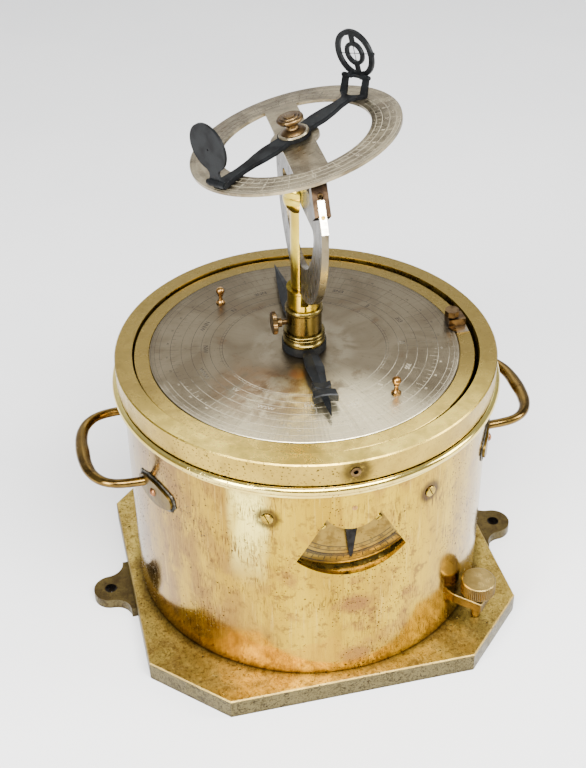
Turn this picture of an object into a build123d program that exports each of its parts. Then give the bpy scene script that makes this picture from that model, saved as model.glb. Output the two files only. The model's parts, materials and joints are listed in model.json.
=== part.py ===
"""Brass sun-compass pelorus: drum on a levelling plate, swinging bowl with a compass dial,
and a tilting hour ring with an alidade and two sight vanes.

Frame: millimetres, +Z up, origin at the centre of the base plate's underside.
The clinometer window faces -Y and the two mounting lugs point along X.
"""
from build123d import *
from math import cos, sin, radians, sqrt
import os

# ---- clearances -------------------------------------------------------------------
GAP = 0.3              # between bodies that pass each other
FIT = 0.05             # radial running fit of a pin or shaft
SEAT = 0.02            # radial room round a fixed screw or rivet

# ---- base plate -------------------------------------------------------------------
BASE_W, BASE_T, BASE_CUT = 267.0, 15.0, 47.5
LUG_X, LUG_T, LUG_R, LUG_HOLE_R, LUG_HALF = 149.5, 8.0, 12.5, 4.15, 25.0
SPIGOT_R, CAP_R, CAP_T = 28.0, 38.0, 4.0

# ---- drum and bezel ---------------------------------------------------------------
DRUM_R, WALL, FLOOR_T, BAND_H = 125.0, 3.0, 4.0, 16.0
DRUM_IN = DRUM_R - WALL
DRUM_Z0, DRUM_Z1 = BASE_T + GAP, 184.6
BEZEL_R, BEZEL_BORE, BEZEL_TOP = 128.6, 116.8, 201.6
BEAD_R = 131.7

# ---- clinometer -------------------------------------------------------------------
CLINO_Z = 161.5                          # height of the pendulum's pivot
WINDOW_R, LOBE_R = 56.0, 26.5            # lower arc, and the lobe that closes the top
WINDOW_TOP, WINDOW_SIDE = (17.5, 154.5), (36.4, 119.0)
SCALE_Y, SCALE_T, SCALE_R = -115.6, 1.5, 54.4

# ---- handles ----------------------------------------------------------------------
HANDLE_Z, FOOT_ANGLE, FOOT_Z = 139.0, 23.7, 137.5
FOOT_L, FOOT_W, FOOT_T, FOOT_TIP = 48.0, 18.0, 2.5, 6.0
HANDLE_RIVET_R, RIVET_HEAD_R = 2.0, 3.2

# ---- base clamp -------------------------------------------------------------------
CLAMP_AT, CLAMP_R = 139.0, 12.0          # screw's distance from the axis, head radius
CLAMP_Z0, CLAMP_Z1, CLAMP_W, CLAMP_END = 27.0, 34.4, 16.5, 146.0
CLAMP_ROD_R, CLAMP_HEAD = 3.3, (39.0, 49.4)

# ---- bowl and dial ----------------------------------------------------------------
BOWL_X, SWING_Z, PIN_R = -1.0, 193.9, 2.5
BOWL_R, BOWL_T, BOWL_Z0 = 103.0, 2.5, 130.0
WEIGHT_X = 1.45                          # offset that balances the column's head
RIM_R, RIM_TOP, DIAL_R, DIAL_TOP, DIAL_T = 114.6, 199.6, 104.4, 200.0, 2.0
KNOB_AT, KNOB_ANGLE = 80.0, 123.6
DCLAMP_AT = 104.8

# ---- column -----------------------------------------------------------------------
POST_R, SLEEVE_R, HEAD_R, ROD_R = 9.0, 11.85, 10.9, 8.5
FOOT_Z0, FOOT_Z1, SLEEVE_Z1, BEAD_Z1, HEAD_Z1 = 206.2, 214.8, 229.6, 233.2, 248.0
CCLAMP_Z = 221.4
COLLAR_R, CROSS_Z0, CROSS_Z1 = 15.0, 203.2, 208.6
COLUMN_TURN = -2.3                       # azimuth of the column at rest, degrees

# ---- tilting head, in a frame at the tilt pivot: u along the arc's plane, v up ------
ARC_X, PIVOT_Z = -1.6, 318.5             # arc's mid plane beside the column's axis, pivot height
HEAD_TILT, LEAN = -2.6, -13.3            # latitude tilt and sideways lean at rest
ARC_R, ARC_IN, ARC_T = 72.5, 50.0, 4.3
LEAN_V, RING_H = 23.0, 11.7              # lean axis above the pivot, ring above that axis
RING_R, RING_IN, RING_T, BRIDGE_W, HUB_R = 66.6, 47.8, 2.0, 21.0, 15.5
FORK_U, FORK_W = 51.5, 9.7
TILT_PIN_R, LEAN_PIN_R = 4.0, 1.5

# ---- alidade ----------------------------------------------------------------------
ALIDADE_TURN, BAR_Z0, BAR_Z1, KNOB_H = 33.0, 1.3, 3.8, 11.2
VANE_PIN_R = 1.0
EYE_HINGE, EYE_C, EYE_R, EYE_T = (65.2, 5.0), (63.6, 27.4), 15.1, 1.6     # (radius, height) points
EYE_LEAN, EYE_TONGUE, EYE_LEFT, EYE_RIGHT = 4.1, 3.4, 5.4, 8.6   # inward lean, then half widths
OBJ_HINGE, OBJ_C, OBJ_R, OBJ_IN, OBJ_T = (59.3, 12.0), (62.6, 25.9), 15.8, 12.4, 2.0
OBJ_LEAN, LEG_IN, LEG_OUT, LUG_IN = 1.0, 6.7, 10.9, 4.0          # outward lean, then half widths
LEG_END, WIRE_TURN = 1.6, -5.0

PARTS = {}


# ---- helpers ----------------------------------------------------------------------
def turned(points):
    """Solid of revolution about Z from (radius, height) corners."""
    return revolve(Plane.XZ * make_face(Polyline(*points, close=True)), Axis.Z)


def plate(points, z0, z1):
    """Flat plate with a polygon outline, between two heights."""
    return extrude(Pos(0, 0, z0) * make_face(Polyline(*points, close=True)), z1 - z0)


def rod(radius, z0, z1):
    """Plain round bar on Z."""
    return Pos(0, 0, (z0 + z1) / 2) * Cylinder(radius, z1 - z0)


def ring(outer, inner, z0, z1):
    """Plain round tube on Z."""
    return rod(outer, z0, z1) - rod(inner, z0 - 1, z1 + 1)


def block(x0, x1, y0, y1, z0, z1):
    """Box between two corners."""
    return Pos((x0 + x1) / 2, (y0 + y1) / 2, (z0 + z1) / 2) * Box(x1 - x0, y1 - y0, z1 - z0)


def bar_x(radius, x0, x1):
    """Round bar along X."""
    return Pos((x0 + x1) / 2, 0, 0) * Rot(0, 90, 0) * Cylinder(radius, x1 - x0)


def bar_y(radius, y0, y1):
    """Round bar along Y."""
    return Pos(0, (y0 + y1) / 2, 0) * Rot(90, 0, 0) * Cylinder(radius, y1 - y0)


def knurled(radius, depth, count, z0, z1):
    """Fluted grip: a round bar whose edge alternates between two radii."""
    pts = []
    for i in range(2 * count):
        r, a = radius - depth * (i % 2), radians(180 * i / count)
        pts.append((r * cos(a), r * sin(a)))
    return plate(pts, z0, z1)


def slotted_head(radius, height, slot=0.7):
    """Cheese-head screw head standing on Z=0, slot along X."""
    head = chamfer(rod(radius, 0, height).edges().group_by(Axis.Z)[-1], height * 0.3)
    return head - block(-radius - 1, radius + 1, -slot / 2, slot / 2, height * 0.5, height + 1)


def prism_y(face, y0, y1):
    """Extrude an X-Z outline from y0 to y1 (y0 < y1)."""
    return extrude(Pos(0, y1, 0) * (Plane.XZ * face), y1 - y0)


def slab(face, x0, x1):
    """Extrude a Y-Z outline from x0 to x1."""
    return extrude(Pos(x0, 0, 0) * (Plane.YZ * face), x1 - x0)


def dome(radius, height):
    """Low rounded head standing on Z=0."""
    ball = (radius ** 2 + height ** 2) / (2 * height)
    return Pos(0, 0, height - ball) * Sphere(ball) & rod(radius + 1, 0, height + 1)


def outward(angle, radius, z):
    """Place on the drum's side: local Z points away from the axis at this angle from +X."""
    return Rot(0, 0, angle) * Pos(radius, 0, z) * Rot(0, 90, 0)


def group(*shapes):
    """Several separate solids kept as one node."""
    solids = []
    for s in shapes:
        solids += list(s.solids())
    return Compound(solids)


# ---- base plate and the spigot the drum turns on ------------------------------------
def make_base():
    square = chamfer(Rectangle(BASE_W, BASE_W).vertices(), BASE_CUT)
    body = extrude(square, BASE_T)
    body = chamfer(body.edges().group_by(Axis.Z)[-1], 0.8)
    edge, neck = BASE_W / 2 - 4, BASE_W / 2 + 4
    ear = make_face([
        Line((edge, -LUG_HALF), (neck, -LUG_HALF)),
        ThreePointArc((neck, -LUG_HALF), (neck + 3.4, -16.4), (LUG_X, -LUG_R)),
        ThreePointArc((LUG_X, -LUG_R), (LUG_X + LUG_R, 0), (LUG_X, LUG_R)),
        ThreePointArc((LUG_X, LUG_R), (neck + 3.4, 16.4), (neck, LUG_HALF)),
        Line((neck, LUG_HALF), (edge, LUG_HALF)),
        Line((edge, LUG_HALF), (edge, -LUG_HALF))])
    lug = extrude(ear, LUG_T) - Pos(LUG_X, 0, 0) * Cylinder(LUG_HOLE_R, 3 * LUG_T)
    body = body + lug + Rot(0, 0, 180) * lug
    spigot = rod(SPIGOT_R, BASE_T, DRUM_Z0 + FLOOR_T + GAP)
    cap_z = DRUM_Z0 + FLOOR_T + GAP
    cap = chamfer(rod(CAP_R, cap_z, cap_z + CAP_T).edges().group_by(Axis.Z)[-1], 0.6)
    screws, holes = [], []
    for a in (90, 210, 330):
        at = Rot(0, 0, a) * Pos(17, 0, 0)
        screws.append(at * (rod(2.5, 6, cap_z + CAP_T) + Pos(0, 0, cap_z + CAP_T) * slotted_head(4.5, 3)))
        holes.append(at * rod(2.5 + SEAT, 5.5, cap_z + CAP_T + 1))
    for h in holes:
        body, spigot, cap = body - h, spigot - h, cap - h
    PARTS["base_plate"] = body
    PARTS["base_spigot"] = spigot
    PARTS["base_cap"] = cap
    PARTS["base_cap_screws"] = group(*screws)


# ---- drum ---------------------------------------------------------------------------
SCREW_SPOTS = [(-90 - 25.2, 154.0), (-90 + 25.2, 154.0)]          # (angle from +X, height)
RIVET_SPOTS = [(-90.0, 77.6), (-90.0, 29.1)]
SIDE_RIVET_R = 2.8
FOOT_SPOTS = [side + sgn * FOOT_ANGLE for side in (0, 180) for sgn in (-1, 1)]
CLAMP_ANGLE = -44.3


def window_cutter():
    """Clinometer window: lower arc about the pivot, straight sides, a lobe hanging from above."""
    (xt, zt), (xs, zs) = WINDOW_TOP, WINDOW_SIDE
    outline = make_face([
        ThreePointArc((-xs, zs), (0, CLINO_Z - WINDOW_R), (xs, zs)),
        Line((xs, zs), (xt, zt)),
        ThreePointArc((xt, zt), (0, CLINO_Z - 17.0), (-xt, zt)),
        Line((-xt, zt), (-xs, zs))])
    return prism_y(outline, -150, -100)


def make_drum():
    shell = ring(DRUM_R, DRUM_IN, DRUM_Z0, DRUM_Z1) - window_cutter()
    floor = ring(DRUM_IN, SPIGOT_R + FIT, DRUM_Z0, DRUM_Z0 + FLOOR_T)
    band = ring(DRUM_IN, DRUM_IN - WALL, DRUM_Z0 + FLOOR_T, DRUM_Z0 + FLOOR_T + BAND_H)
    collar = revolve(Plane.XZ * make_face([
        Line((DRUM_R, 173.5), (DRUM_R + 1.2, 173.5)),
        Line((DRUM_R + 1.2, 173.5), (DRUM_R + 1.2, DRUM_Z1 - 6.4)),
        Line((DRUM_R + 1.2, DRUM_Z1 - 6.4), (BEAD_R - 3.2, DRUM_Z1 - 6.4)),
        ThreePointArc((BEAD_R - 3.2, DRUM_Z1 - 6.4), (BEAD_R, DRUM_Z1 - 3.2), (BEAD_R - 3.2, DRUM_Z1)),
        Line((BEAD_R - 3.2, DRUM_Z1), (DRUM_R, DRUM_Z1)),
        Line((DRUM_R, DRUM_Z1), (DRUM_R, 173.5))]), Axis.Z)
    bezel = turned([(BEZEL_BORE, BEZEL_TOP), (BEZEL_R - 0.8, BEZEL_TOP), (BEZEL_R, BEZEL_TOP - 0.8),
                    (BEZEL_R, DRUM_Z1 + 1.0), (DRUM_R + 1.5, DRUM_Z1 + 1.0), (DRUM_R + 1.5, DRUM_Z1),
                    (DRUM_IN, DRUM_Z1), (DRUM_IN, 176.0), (DRUM_IN - 3, 176.0),
                    (DRUM_IN - 3, DRUM_Z1 - 1), (BEZEL_BORE, DRUM_Z1 + 1.5)])
    # swing pins: cup-ended studs through the bezel wall, front and back
    pins = []
    for end in (-90, 90):
        at = Pos(BOWL_X, 0, 0) * outward(end, 0, SWING_Z)
        stud = rod(PIN_R, 109.5, 126.4) + rod(3.3, 126.4, 129.4) - rod(1.6, 127.6, 131)
        pins.append(at * stud)
        bezel = bezel - at * rod(PIN_R + SEAT, 100, 135) - at * rod(3.3 + SEAT, 126.4, 135)
    # slotted screws and flush rivets in the drum's side
    screws, rivets = [], []
    for a, z in SCREW_SPOTS:
        at = outward(a, DRUM_R - 0.4, z)
        screws.append(at * Rot(0, 0, 25) * (rod(1.8, -8, 0) + slotted_head(3.9, 1.5)))
        shell = shell - at * rod(1.8 + SEAT, -8, 1) - at * rod(3.9 + SEAT, 0, 5)
    for a, z in RIVET_SPOTS:
        at = outward(a, DRUM_R, z)
        rivets.append(at * rod(SIDE_RIVET_R, -WALL - 2.5, 0.12))
        hole = at * rod(SIDE_RIVET_R + SEAT, -2 * WALL - 1, 2)
        shell, band = shell - hole, band - hole
    PARTS["drum_floor"] = floor
    PARTS["drum_band"] = band
    PARTS["drum_collar"] = collar
    PARTS["bezel_ring"] = bezel
    PARTS["swing_pins"] = group(*pins)
    PARTS["drum_screws"] = group(*screws)
    PARTS["drum_rivets"] = group(*rivets)
    return shell


# ---- carrying handles ---------------------------------------------------------------
def handle_bow():
    """Bow on the +X side: round at the feet, fuller and flatter at the grip."""
    half = [(112, 40), (123, 40), (134, 39.4), (144, 36.2), (151, 29.2), (155, 19.5), (156.5, 9)]
    path = Spline(*half, (156.7, 0), *[(x, -y) for x, y in reversed(half)])
    sections = []
    for i in range(21):
        t = i / 20
        grip = max(0.0, 1 - abs(t - 0.5) / 0.27) ** 0.7
        at = Plane(origin=path.position_at(t), x_dir=(0, 0, 1), z_dir=path.tangent_at(t))
        sections.append(at * Ellipse(3.1 + 0.7 * grip, 3.1 + 1.7 * grip))
    bow = Pos(0, 0, HANDLE_Z) * loft(sections)
    return bow - rod(DRUM_R + FOOT_T, HANDLE_Z - 20, HANDLE_Z + 20)


def make_handles(shell):
    bow = handle_bow()
    PARTS["handle_right"] = bow
    PARTS["handle_left"] = Rot(0, 0, 180) * bow
    lozenge = make_face([
        ThreePointArc((-FOOT_L / 2, 0), (0, FOOT_W / 2), (FOOT_L / 2, 0)),
        ThreePointArc((FOOT_L / 2, 0), (0, -FOOT_W / 2), (-FOOT_L / 2, 0))])
    lozenge = fillet(lozenge.vertices(), FOOT_TIP)
    feet, solder, rivets = [], [], []
    for a in FOOT_SPOTS:
        at = outward(a, DRUM_R - 8, FOOT_Z) * Rot(0, 0, 90)
        prism = at * extrude(lozenge, 30)
        wide = at * extrude(offset(lozenge, 1.8), 30)
        hole = at * rod(HANDLE_RIVET_R + SEAT, -10, 40)
        feet.append(prism & ring(DRUM_R + FOOT_T, DRUM_R, FOOT_Z - 20, FOOT_Z + 20) - hole)
        solder.append(wide & ring(DRUM_R + 0.7, DRUM_R, FOOT_Z - 20, FOOT_Z + 20) - prism)
        rivets.append(at * (Pos(0, 0, 8 + FOOT_T + 0.05) * dome(RIVET_HEAD_R, 1.9)
                            + rod(HANDLE_RIVET_R, 8 - WALL - 1.5, 8.5 + FOOT_T)))
        feet[-1] = feet[-1] - at * rod(RIVET_HEAD_R + 0.1, 8 + FOOT_T + 0.05, 20)
        shell = shell - hole
    PARTS["handle_feet"] = group(*feet)
    PARTS["handle_solder"] = group(*solder)
    PARTS["handle_rivets"] = group(*rivets)
    return shell


# ---- clamp that locks the drum to the base ------------------------------------------
def make_base_clamp():
    arm = block(100, CLAMP_END, -CLAMP_W / 2, CLAMP_W / 2, CLAMP_Z0, CLAMP_Z1)
    arm = chamfer(arm.edges().filter_by(Axis.Z).group_by(Axis.X)[-1], 0.8)
    arm = chamfer(arm.edges().group_by(Axis.Z)[-1], 0.5) - rod(DRUM_R, 0, 60)
    arm = arm - Pos(CLAMP_AT, 0, 0) * rod(CLAMP_ROD_R + FIT, 0, 60)
    low, top = CLAMP_HEAD
    head = knurled(CLAMP_R, 0.45, 52, low, top) & turned(
        [(0, low - 1), (CLAMP_R - 1.2, low - 1), (CLAMP_R + 1, low + 1.2), (CLAMP_R + 1, top - 1.1),
         (CLAMP_R - 0.9, top), (0, top)])
    screw = head + rod(CLAMP_ROD_R, BASE_T + GAP, low + 0.5) + rod(5.5, CLAMP_Z1 + GAP, low + 0.2)
    PARTS["clamp_bracket"] = Rot(0, 0, CLAMP_ANGLE) * arm
    PARTS["clamp_screw"] = Rot(0, 0, CLAMP_ANGLE) * Pos(CLAMP_AT, 0, 0) * screw


# ---- clinometer behind the window ---------------------------------------------------
def case_outline(grow):
    """Case outline in X and Z: square shoulders, round bottom about the pivot."""
    w, top, r = 45.5 + grow, 170.0 + grow, 57.5 + grow
    side = CLINO_Z - sqrt(r * r - w * w)
    return make_face([
        Line((-w, side), (-w, top)), Line((-w, top), (w, top)), Line((w, top), (w, side)),
        ThreePointArc((w, side), (0, CLINO_Z - r), (-w, side))])


def make_clinometer(shell):
    inside = rod(DRUM_IN, 60, 180)
    case = prism_y(case_outline(2.5), -124, -109) & inside
    case = case - prism_y(case_outline(0), -130, -111)
    case = case + ((block(47, 60, -124, -90, 146.5, 161.5) + block(-60, -47, -124, -90, 146.5, 161.5))
                   & ring(DRUM_IN, DRUM_IN - 4.5, 60, 180))
    face_y = SCALE_Y
    scale = prism_y(case_outline(-1.0) & (Pos(0, CLINO_Z) * Circle(SCALE_R)), face_y, face_y + SCALE_T)
    scale = scale & rod(DRUM_IN - 0.3, 60, 180)
    screws, posts = [], []
    for x in (-18.4, 18.4):
        at = Pos(x, face_y, 142.5) * Rot(90, 0, 0)
        screws.append(at * Rot(0, 0, 40) * (rod(1.1, -5, 0) + slotted_head(2.3, 1.2, 0.6)))
        posts.append(at * rod(3.0, -5.5, -SCALE_T))
        scale = scale - at * rod(1.1 + SEAT, -5, 1)
        case = case + posts[-1] - at * rod(1.1 + SEAT, -5, 1)
    # the pivot is riveted flush into the drum wall and ends in the case's back
    at = Pos(0, -DRUM_R, CLINO_Z) * Rot(-90, 0, 0)
    pivot = at * rod(1.8, -0.1, 15.5)
    shell = shell - at * rod(1.8 + SEAT, -3, 4)
    case = case - at * rod(1.8 + SEAT, 0, 18)
    scale = scale - at * rod(1.8 + SEAT, 0, 12)
    wedge = [(-5.6, CLINO_Z), (-3.5, CLINO_Z - 25), (-1.0, CLINO_Z - 46.5), (0, CLINO_Z - 47.4),
             (1.0, CLINO_Z - 46.5), (3.5, CLINO_Z - 25), (5.6, CLINO_Z)]
    hand = make_face(Polyline(*wedge, close=True)) + Pos(0, CLINO_Z) * Circle(5.8)
    pointer = prism_y(hand, SCALE_Y - 2.9, SCALE_Y - 1.6) - at * rod(1.8 + FIT, 0, 12)
    for a, z in SCREW_SPOTS:
        case = case - outward(a, DRUM_R - 0.4, z) * rod(1.8 + SEAT, -9, 1)
    PARTS["clinometer_case"] = case
    PARTS["clinometer_scale"] = scale
    PARTS["clinometer_screws"] = group(*screws)
    PARTS["clinometer_pivot"] = pivot
    PARTS["clinometer_pendulum"] = pointer
    return shell


# ---- swinging bowl ------------------------------------------------------------------
def make_bowl():
    top, seat = RIM_TOP - 4.0, RIM_TOP - 2.2
    shell = ring(BOWL_R, BOWL_R - BOWL_T, BOWL_Z0, top)
    floor = turned([(0, BOWL_Z0 - BOWL_T), (BOWL_R - 5, BOWL_Z0 - BOWL_T), (BOWL_R, BOWL_Z0 - 0.4),
                    (BOWL_R, BOWL_Z0), (0, BOWL_Z0)])
    rim = turned([(99, top), (BOWL_R, top), (BOWL_R, seat), (RIM_R, seat), (RIM_R, RIM_TOP - 0.3),
                  (RIM_R - 0.3, RIM_TOP), (DIAL_R + 0.6, RIM_TOP), (DIAL_R + 0.6, DIAL_TOP - DIAL_T - GAP),
                  (99, DIAL_TOP - DIAL_T - GAP)])
    blocks = []
    for sgn in (-1, 1):
        b = block(-8, 8, min(sgn * 100, sgn * 113.2), max(sgn * 100, sgn * 113.2), 187.5, seat)
        b = b - rod(BOWL_R, 180, 200) - Pos(0, 0, SWING_Z) * bar_y(PIN_R + FIT, -120, 120)
        blocks.append(b)
    pillar = rod(24, BOWL_Z0, BOWL_Z0 + 4) + rod(12, BOWL_Z0 + 4, 186.4)
    under = BOWL_Z0 - BOWL_T
    weight = turned([(0, under - 15), (46, under - 15), (50, under - 11), (50, under), (0, under)])
    here = Pos(BOWL_X, 0, 0)
    PARTS["bowl_shell"] = here * shell
    PARTS["bowl_floor"] = here * floor
    PARTS["bowl_rim"] = here * rim
    PARTS["bowl_trunnions"] = here * group(*blocks)
    PARTS["bowl_pillar"] = here * pillar
    PARTS["bowl_weight"] = here * Pos(WEIGHT_X, 0, 0) * weight
    # index plate and screw clamp for the dial, on the rim at +X
    sector = ring(RIM_R - 0.8, DIAL_R + 0.9, RIM_TOP, RIM_TOP + 0.7) & block(100, 120, -11.5, 7.5, 190, 210)
    foot = (ring(113.4, 101.6, DIAL_TOP + 0.7, 205.8) & block(100, 120, -4, 6, 190, 210)) \
        + (ring(113.4, DIAL_R + 1.2, RIM_TOP + 0.7, 205.8) & block(100, 120, -4, 6, 190, 210))
    foot = foot + plate([(101.7, -3.8), (105, -3.8), (105, -9.5), (102.4, -9.5), (100.4, -5.5)],
                        DIAL_TOP + 0.7, DIAL_TOP + 1.9)
    at = Pos(DCLAMP_AT, 1.0, 0)
    foot = foot - at * rod(1.8 + FIT, 190, 220)
    screw = at * (rod(1.8, DIAL_TOP + 0.7, 207.5) + knurled(5.1, 0.5, 8, 207.2, 211.4))
    PARTS["dial_index_plate"] = here * sector
    PARTS["dial_clamp_foot"] = here * foot
    PARTS["dial_clamp_screw"] = here * screw


# ---- compass dial -------------------------------------------------------------------
def make_dial():
    z0 = DIAL_TOP - DIAL_T
    dial = rod(DIAL_R, z0, DIAL_TOP)
    dial = chamfer(dial.edges().group_by(Axis.Z)[-1], 0.25) - rod(POST_R, 190, 210)
    hub = turned([(7, 187.0), (12.05, 187.0), (12.05, 176), (17, 176), (17, 194), (27, 194),
                  (27, z0), (7, z0)])
    post = rod(7, 187.0, z0) + rod(POST_R, z0, 227.5)
    knobs = []
    for a in (KNOB_ANGLE, KNOB_ANGLE + 180):
        knob = turned([(0, 0), (3.3, 0), (3.3, 0.9), (2.4, 1.5), (1.7, 2.6), (1.25, 4.6), (1.25, 5.6),
                       (1.9, 6.3), (1.9, 6.9), (1.3, 7.4), (1.3, 10), (0, 10)]) + Pos(0, 0, 10) * Sphere(3.05)
        knobs.append(Rot(0, 0, a) * Pos(KNOB_AT, 0, DIAL_TOP) * knob)
    here = Pos(BOWL_X, 0, 0)
    PARTS["dial_plate"] = here * dial
    PARTS["dial_hub"] = here * hub
    PARTS["dial_post"] = here * post
    PARTS["dial_knobs"] = here * group(*knobs)


# ---- column with its bearing hand ---------------------------------------------------
COLUMN = Pos(BOWL_X, 0, 0) * Rot(0, 0, COLUMN_TURN)


def ridged(stations):
    """Blade along -Y with a raised middle: (distance, half width, half height, mid height)."""
    out = None
    for a, b in zip(stations, stations[1:]):
        ends = []
        for d, w, h, z in (a, b):
            at = Plane(origin=(0, -d, z), x_dir=(1, 0, 0), z_dir=(0, -1, 0))
            ends.append(at * make_face(Polyline((w, 0), (0, h), (-w, 0), (0, -h), close=True)))
        piece = loft(ends, ruled=True)
        out = piece if out is None else out + piece
    return out


def make_hand():
    """Blackened hand: collar, leaf and cross to the front, spear to the back."""
    collar = ring(COLLAR_R, POST_R + FIT, DIAL_TOP + GAP + 0.2, FOOT_Z0)
    leaf = ridged([(13.8, 3.6, 1.2, 204.9), (22, 5.4, 1.7, 206.0), (35, 6.3, 1.9, 206.3),
                   (44, 5.2, 1.8, 206.0), (52, 4.3, 1.7, 205.6), (60, 3.5, 1.7, 205.5)])
    tip = ridged([(66, 2.6, 1.6, 205.5), (74, 1.9, 1.3, 204.9), (84.5, 0.35, 0.4, 204.0)])
    right_edge = [(0, 54.4), (6.2, 53.0), (5.6, 59.0), (2.6, 61.0), (7.6, 62.5), (8.0, 69.7), (2.6, 68.4)]
    outline = [(x, -d) for x, d in right_edge] + [(-x, -d) for x, d in reversed(right_edge[1:])]
    cross = plate(outline, CROSS_Z0, CROSS_Z1)
    cross = chamfer(cross.edges().group_by(Axis.Z)[-1], 0.7)
    spear = Rot(0, 0, 180.8) * ridged([(13.8, 3.2, 1.2, 204.9), (22, 4.6, 1.6, 205.8),
                                       (35, 6.6, 1.8, 206.1), (50, 6.0, 1.7, 206.0),
                                       (72, 3.8, 1.4, 205.6), (99.8, 0.35, 0.4, 205.0)])
    return collar + leaf + cross + tip + spear


def make_column():
    foot = revolve(Plane.XZ * make_face([
        Line((POST_R + FIT, FOOT_Z0), (14.3, FOOT_Z0)), Line((14.3, FOOT_Z0), (14.3, 208.0)),
        ThreePointArc((14.3, 208.0), (13.3, 209.2), (13.0, 210.6)),
        ThreePointArc((13.0, 210.6), (14.0, 211.5), (13.2, 212.4)),
        ThreePointArc((13.2, 212.4), (13.9, 213.5), (12.9, FOOT_Z1)),
        Line((12.9, FOOT_Z1), (POST_R + FIT, FOOT_Z1)),
        Line((POST_R + FIT, FOOT_Z1), (POST_R + FIT, FOOT_Z0))]), Axis.Z)
    sleeve = ring(SLEEVE_R, POST_R + FIT, FOOT_Z1, SLEEVE_Z1) + revolve(Plane.XZ * make_face([
        Line((0, SLEEVE_Z1), (12.2, SLEEVE_Z1)),
        ThreePointArc((12.2, SLEEVE_Z1), (12.9, SLEEVE_Z1 + 1.8), (12.2, BEAD_Z1)),
        Line((12.2, BEAD_Z1), (0, BEAD_Z1)), Line((0, BEAD_Z1), (0, SLEEVE_Z1))]), Axis.Z)
    # upper cylinder, split for the arc; its left half rises as a half-round rod to an oval boss
    left_face, right_face = ARC_X - ARC_T / 2, ARC_X + ARC_T / 2
    flat = left_face - GAP - 0.05
    head = turned([(0, BEAD_Z1), (HEAD_R, BEAD_Z1), (HEAD_R, HEAD_Z1 - 2.2), (HEAD_R + 0.5, HEAD_Z1 - 1.4),
                   (HEAD_R + 0.5, HEAD_Z1), (0, HEAD_Z1)])
    head = head - block(flat, right_face + GAP + 0.05, -20, 20, HEAD_Z1 - 10, HEAD_Z1 + 5)
    stalk = rod(ROD_R, HEAD_Z1 - 5, PIVOT_Z) & block(-30, flat, -20, 20, 200, 400)
    boss = None
    for z in (PIVOT_Z - 5.0, PIVOT_Z):
        b = Pos(flat, 0, z) * Rot(0, -90, 0) * dome(10.6, 8.8)
        boss = b if boss is None else boss + b
    head = head + stalk + boss
    pin_hole = Pos(0, 0, PIVOT_Z) * bar_x(TILT_PIN_R + SEAT, flat - 6.5, 20)
    head = head - pin_hole
    pin = Pos(0, 0, PIVOT_Z) * (bar_x(TILT_PIN_R, flat - 6.3, right_face + GAP + 0.2)
                                 + bar_x(6.4, right_face + GAP, right_face + 3.0))
    # thumbscrew that pinches the sleeve on the post
    spindle = bar_x(2.0, -19.0, -POST_R - GAP) + bar_x(3.3, -18.2, -15.4)
    wheel = Rot(0, -90, 0) * (knurled(7.8, 0.35, 30, 18.6, 21.9) & turned(
        [(0, 18.6), (7.2, 18.6), (8, 19.4), (8, 21.1), (7.2, 21.9), (0, 21.9)]))
    sleeve = sleeve - Pos(0, 0, CCLAMP_Z) * bar_x(2.0 + FIT, -20, -5)
    PARTS["column_foot"] = COLUMN * foot
    PARTS["column_sleeve"] = COLUMN * sleeve
    PARTS["column_head"] = COLUMN * head
    PARTS["tilt_pin"] = COLUMN * pin
    PARTS["bearing_hand"] = COLUMN * make_hand()
    PARTS["column_clamp_screw"] = COLUMN * Pos(0, 0, CCLAMP_Z) * (spindle + wheel)


# ---- latitude arc -------------------------------------------------------------------
ARC_FRAME = COLUMN * Pos(ARC_X, 0, PIVOT_Z) * Rot(HEAD_TILT, 0, 0)
RING_FRAME = ARC_FRAME * Pos(0, 0, LEAN_V) * Rot(0, LEAN, 0) * Pos(0, 0, RING_H)
ALIDADE_FRAME = RING_FRAME * Rot(0, 0, ALIDADE_TURN)
SLANT_LOW, SLANT_TOP = (ARC_R - 0.3, 4.0), (59.3, 21.0)           # slanted end of the arc, (u, v)


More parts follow.
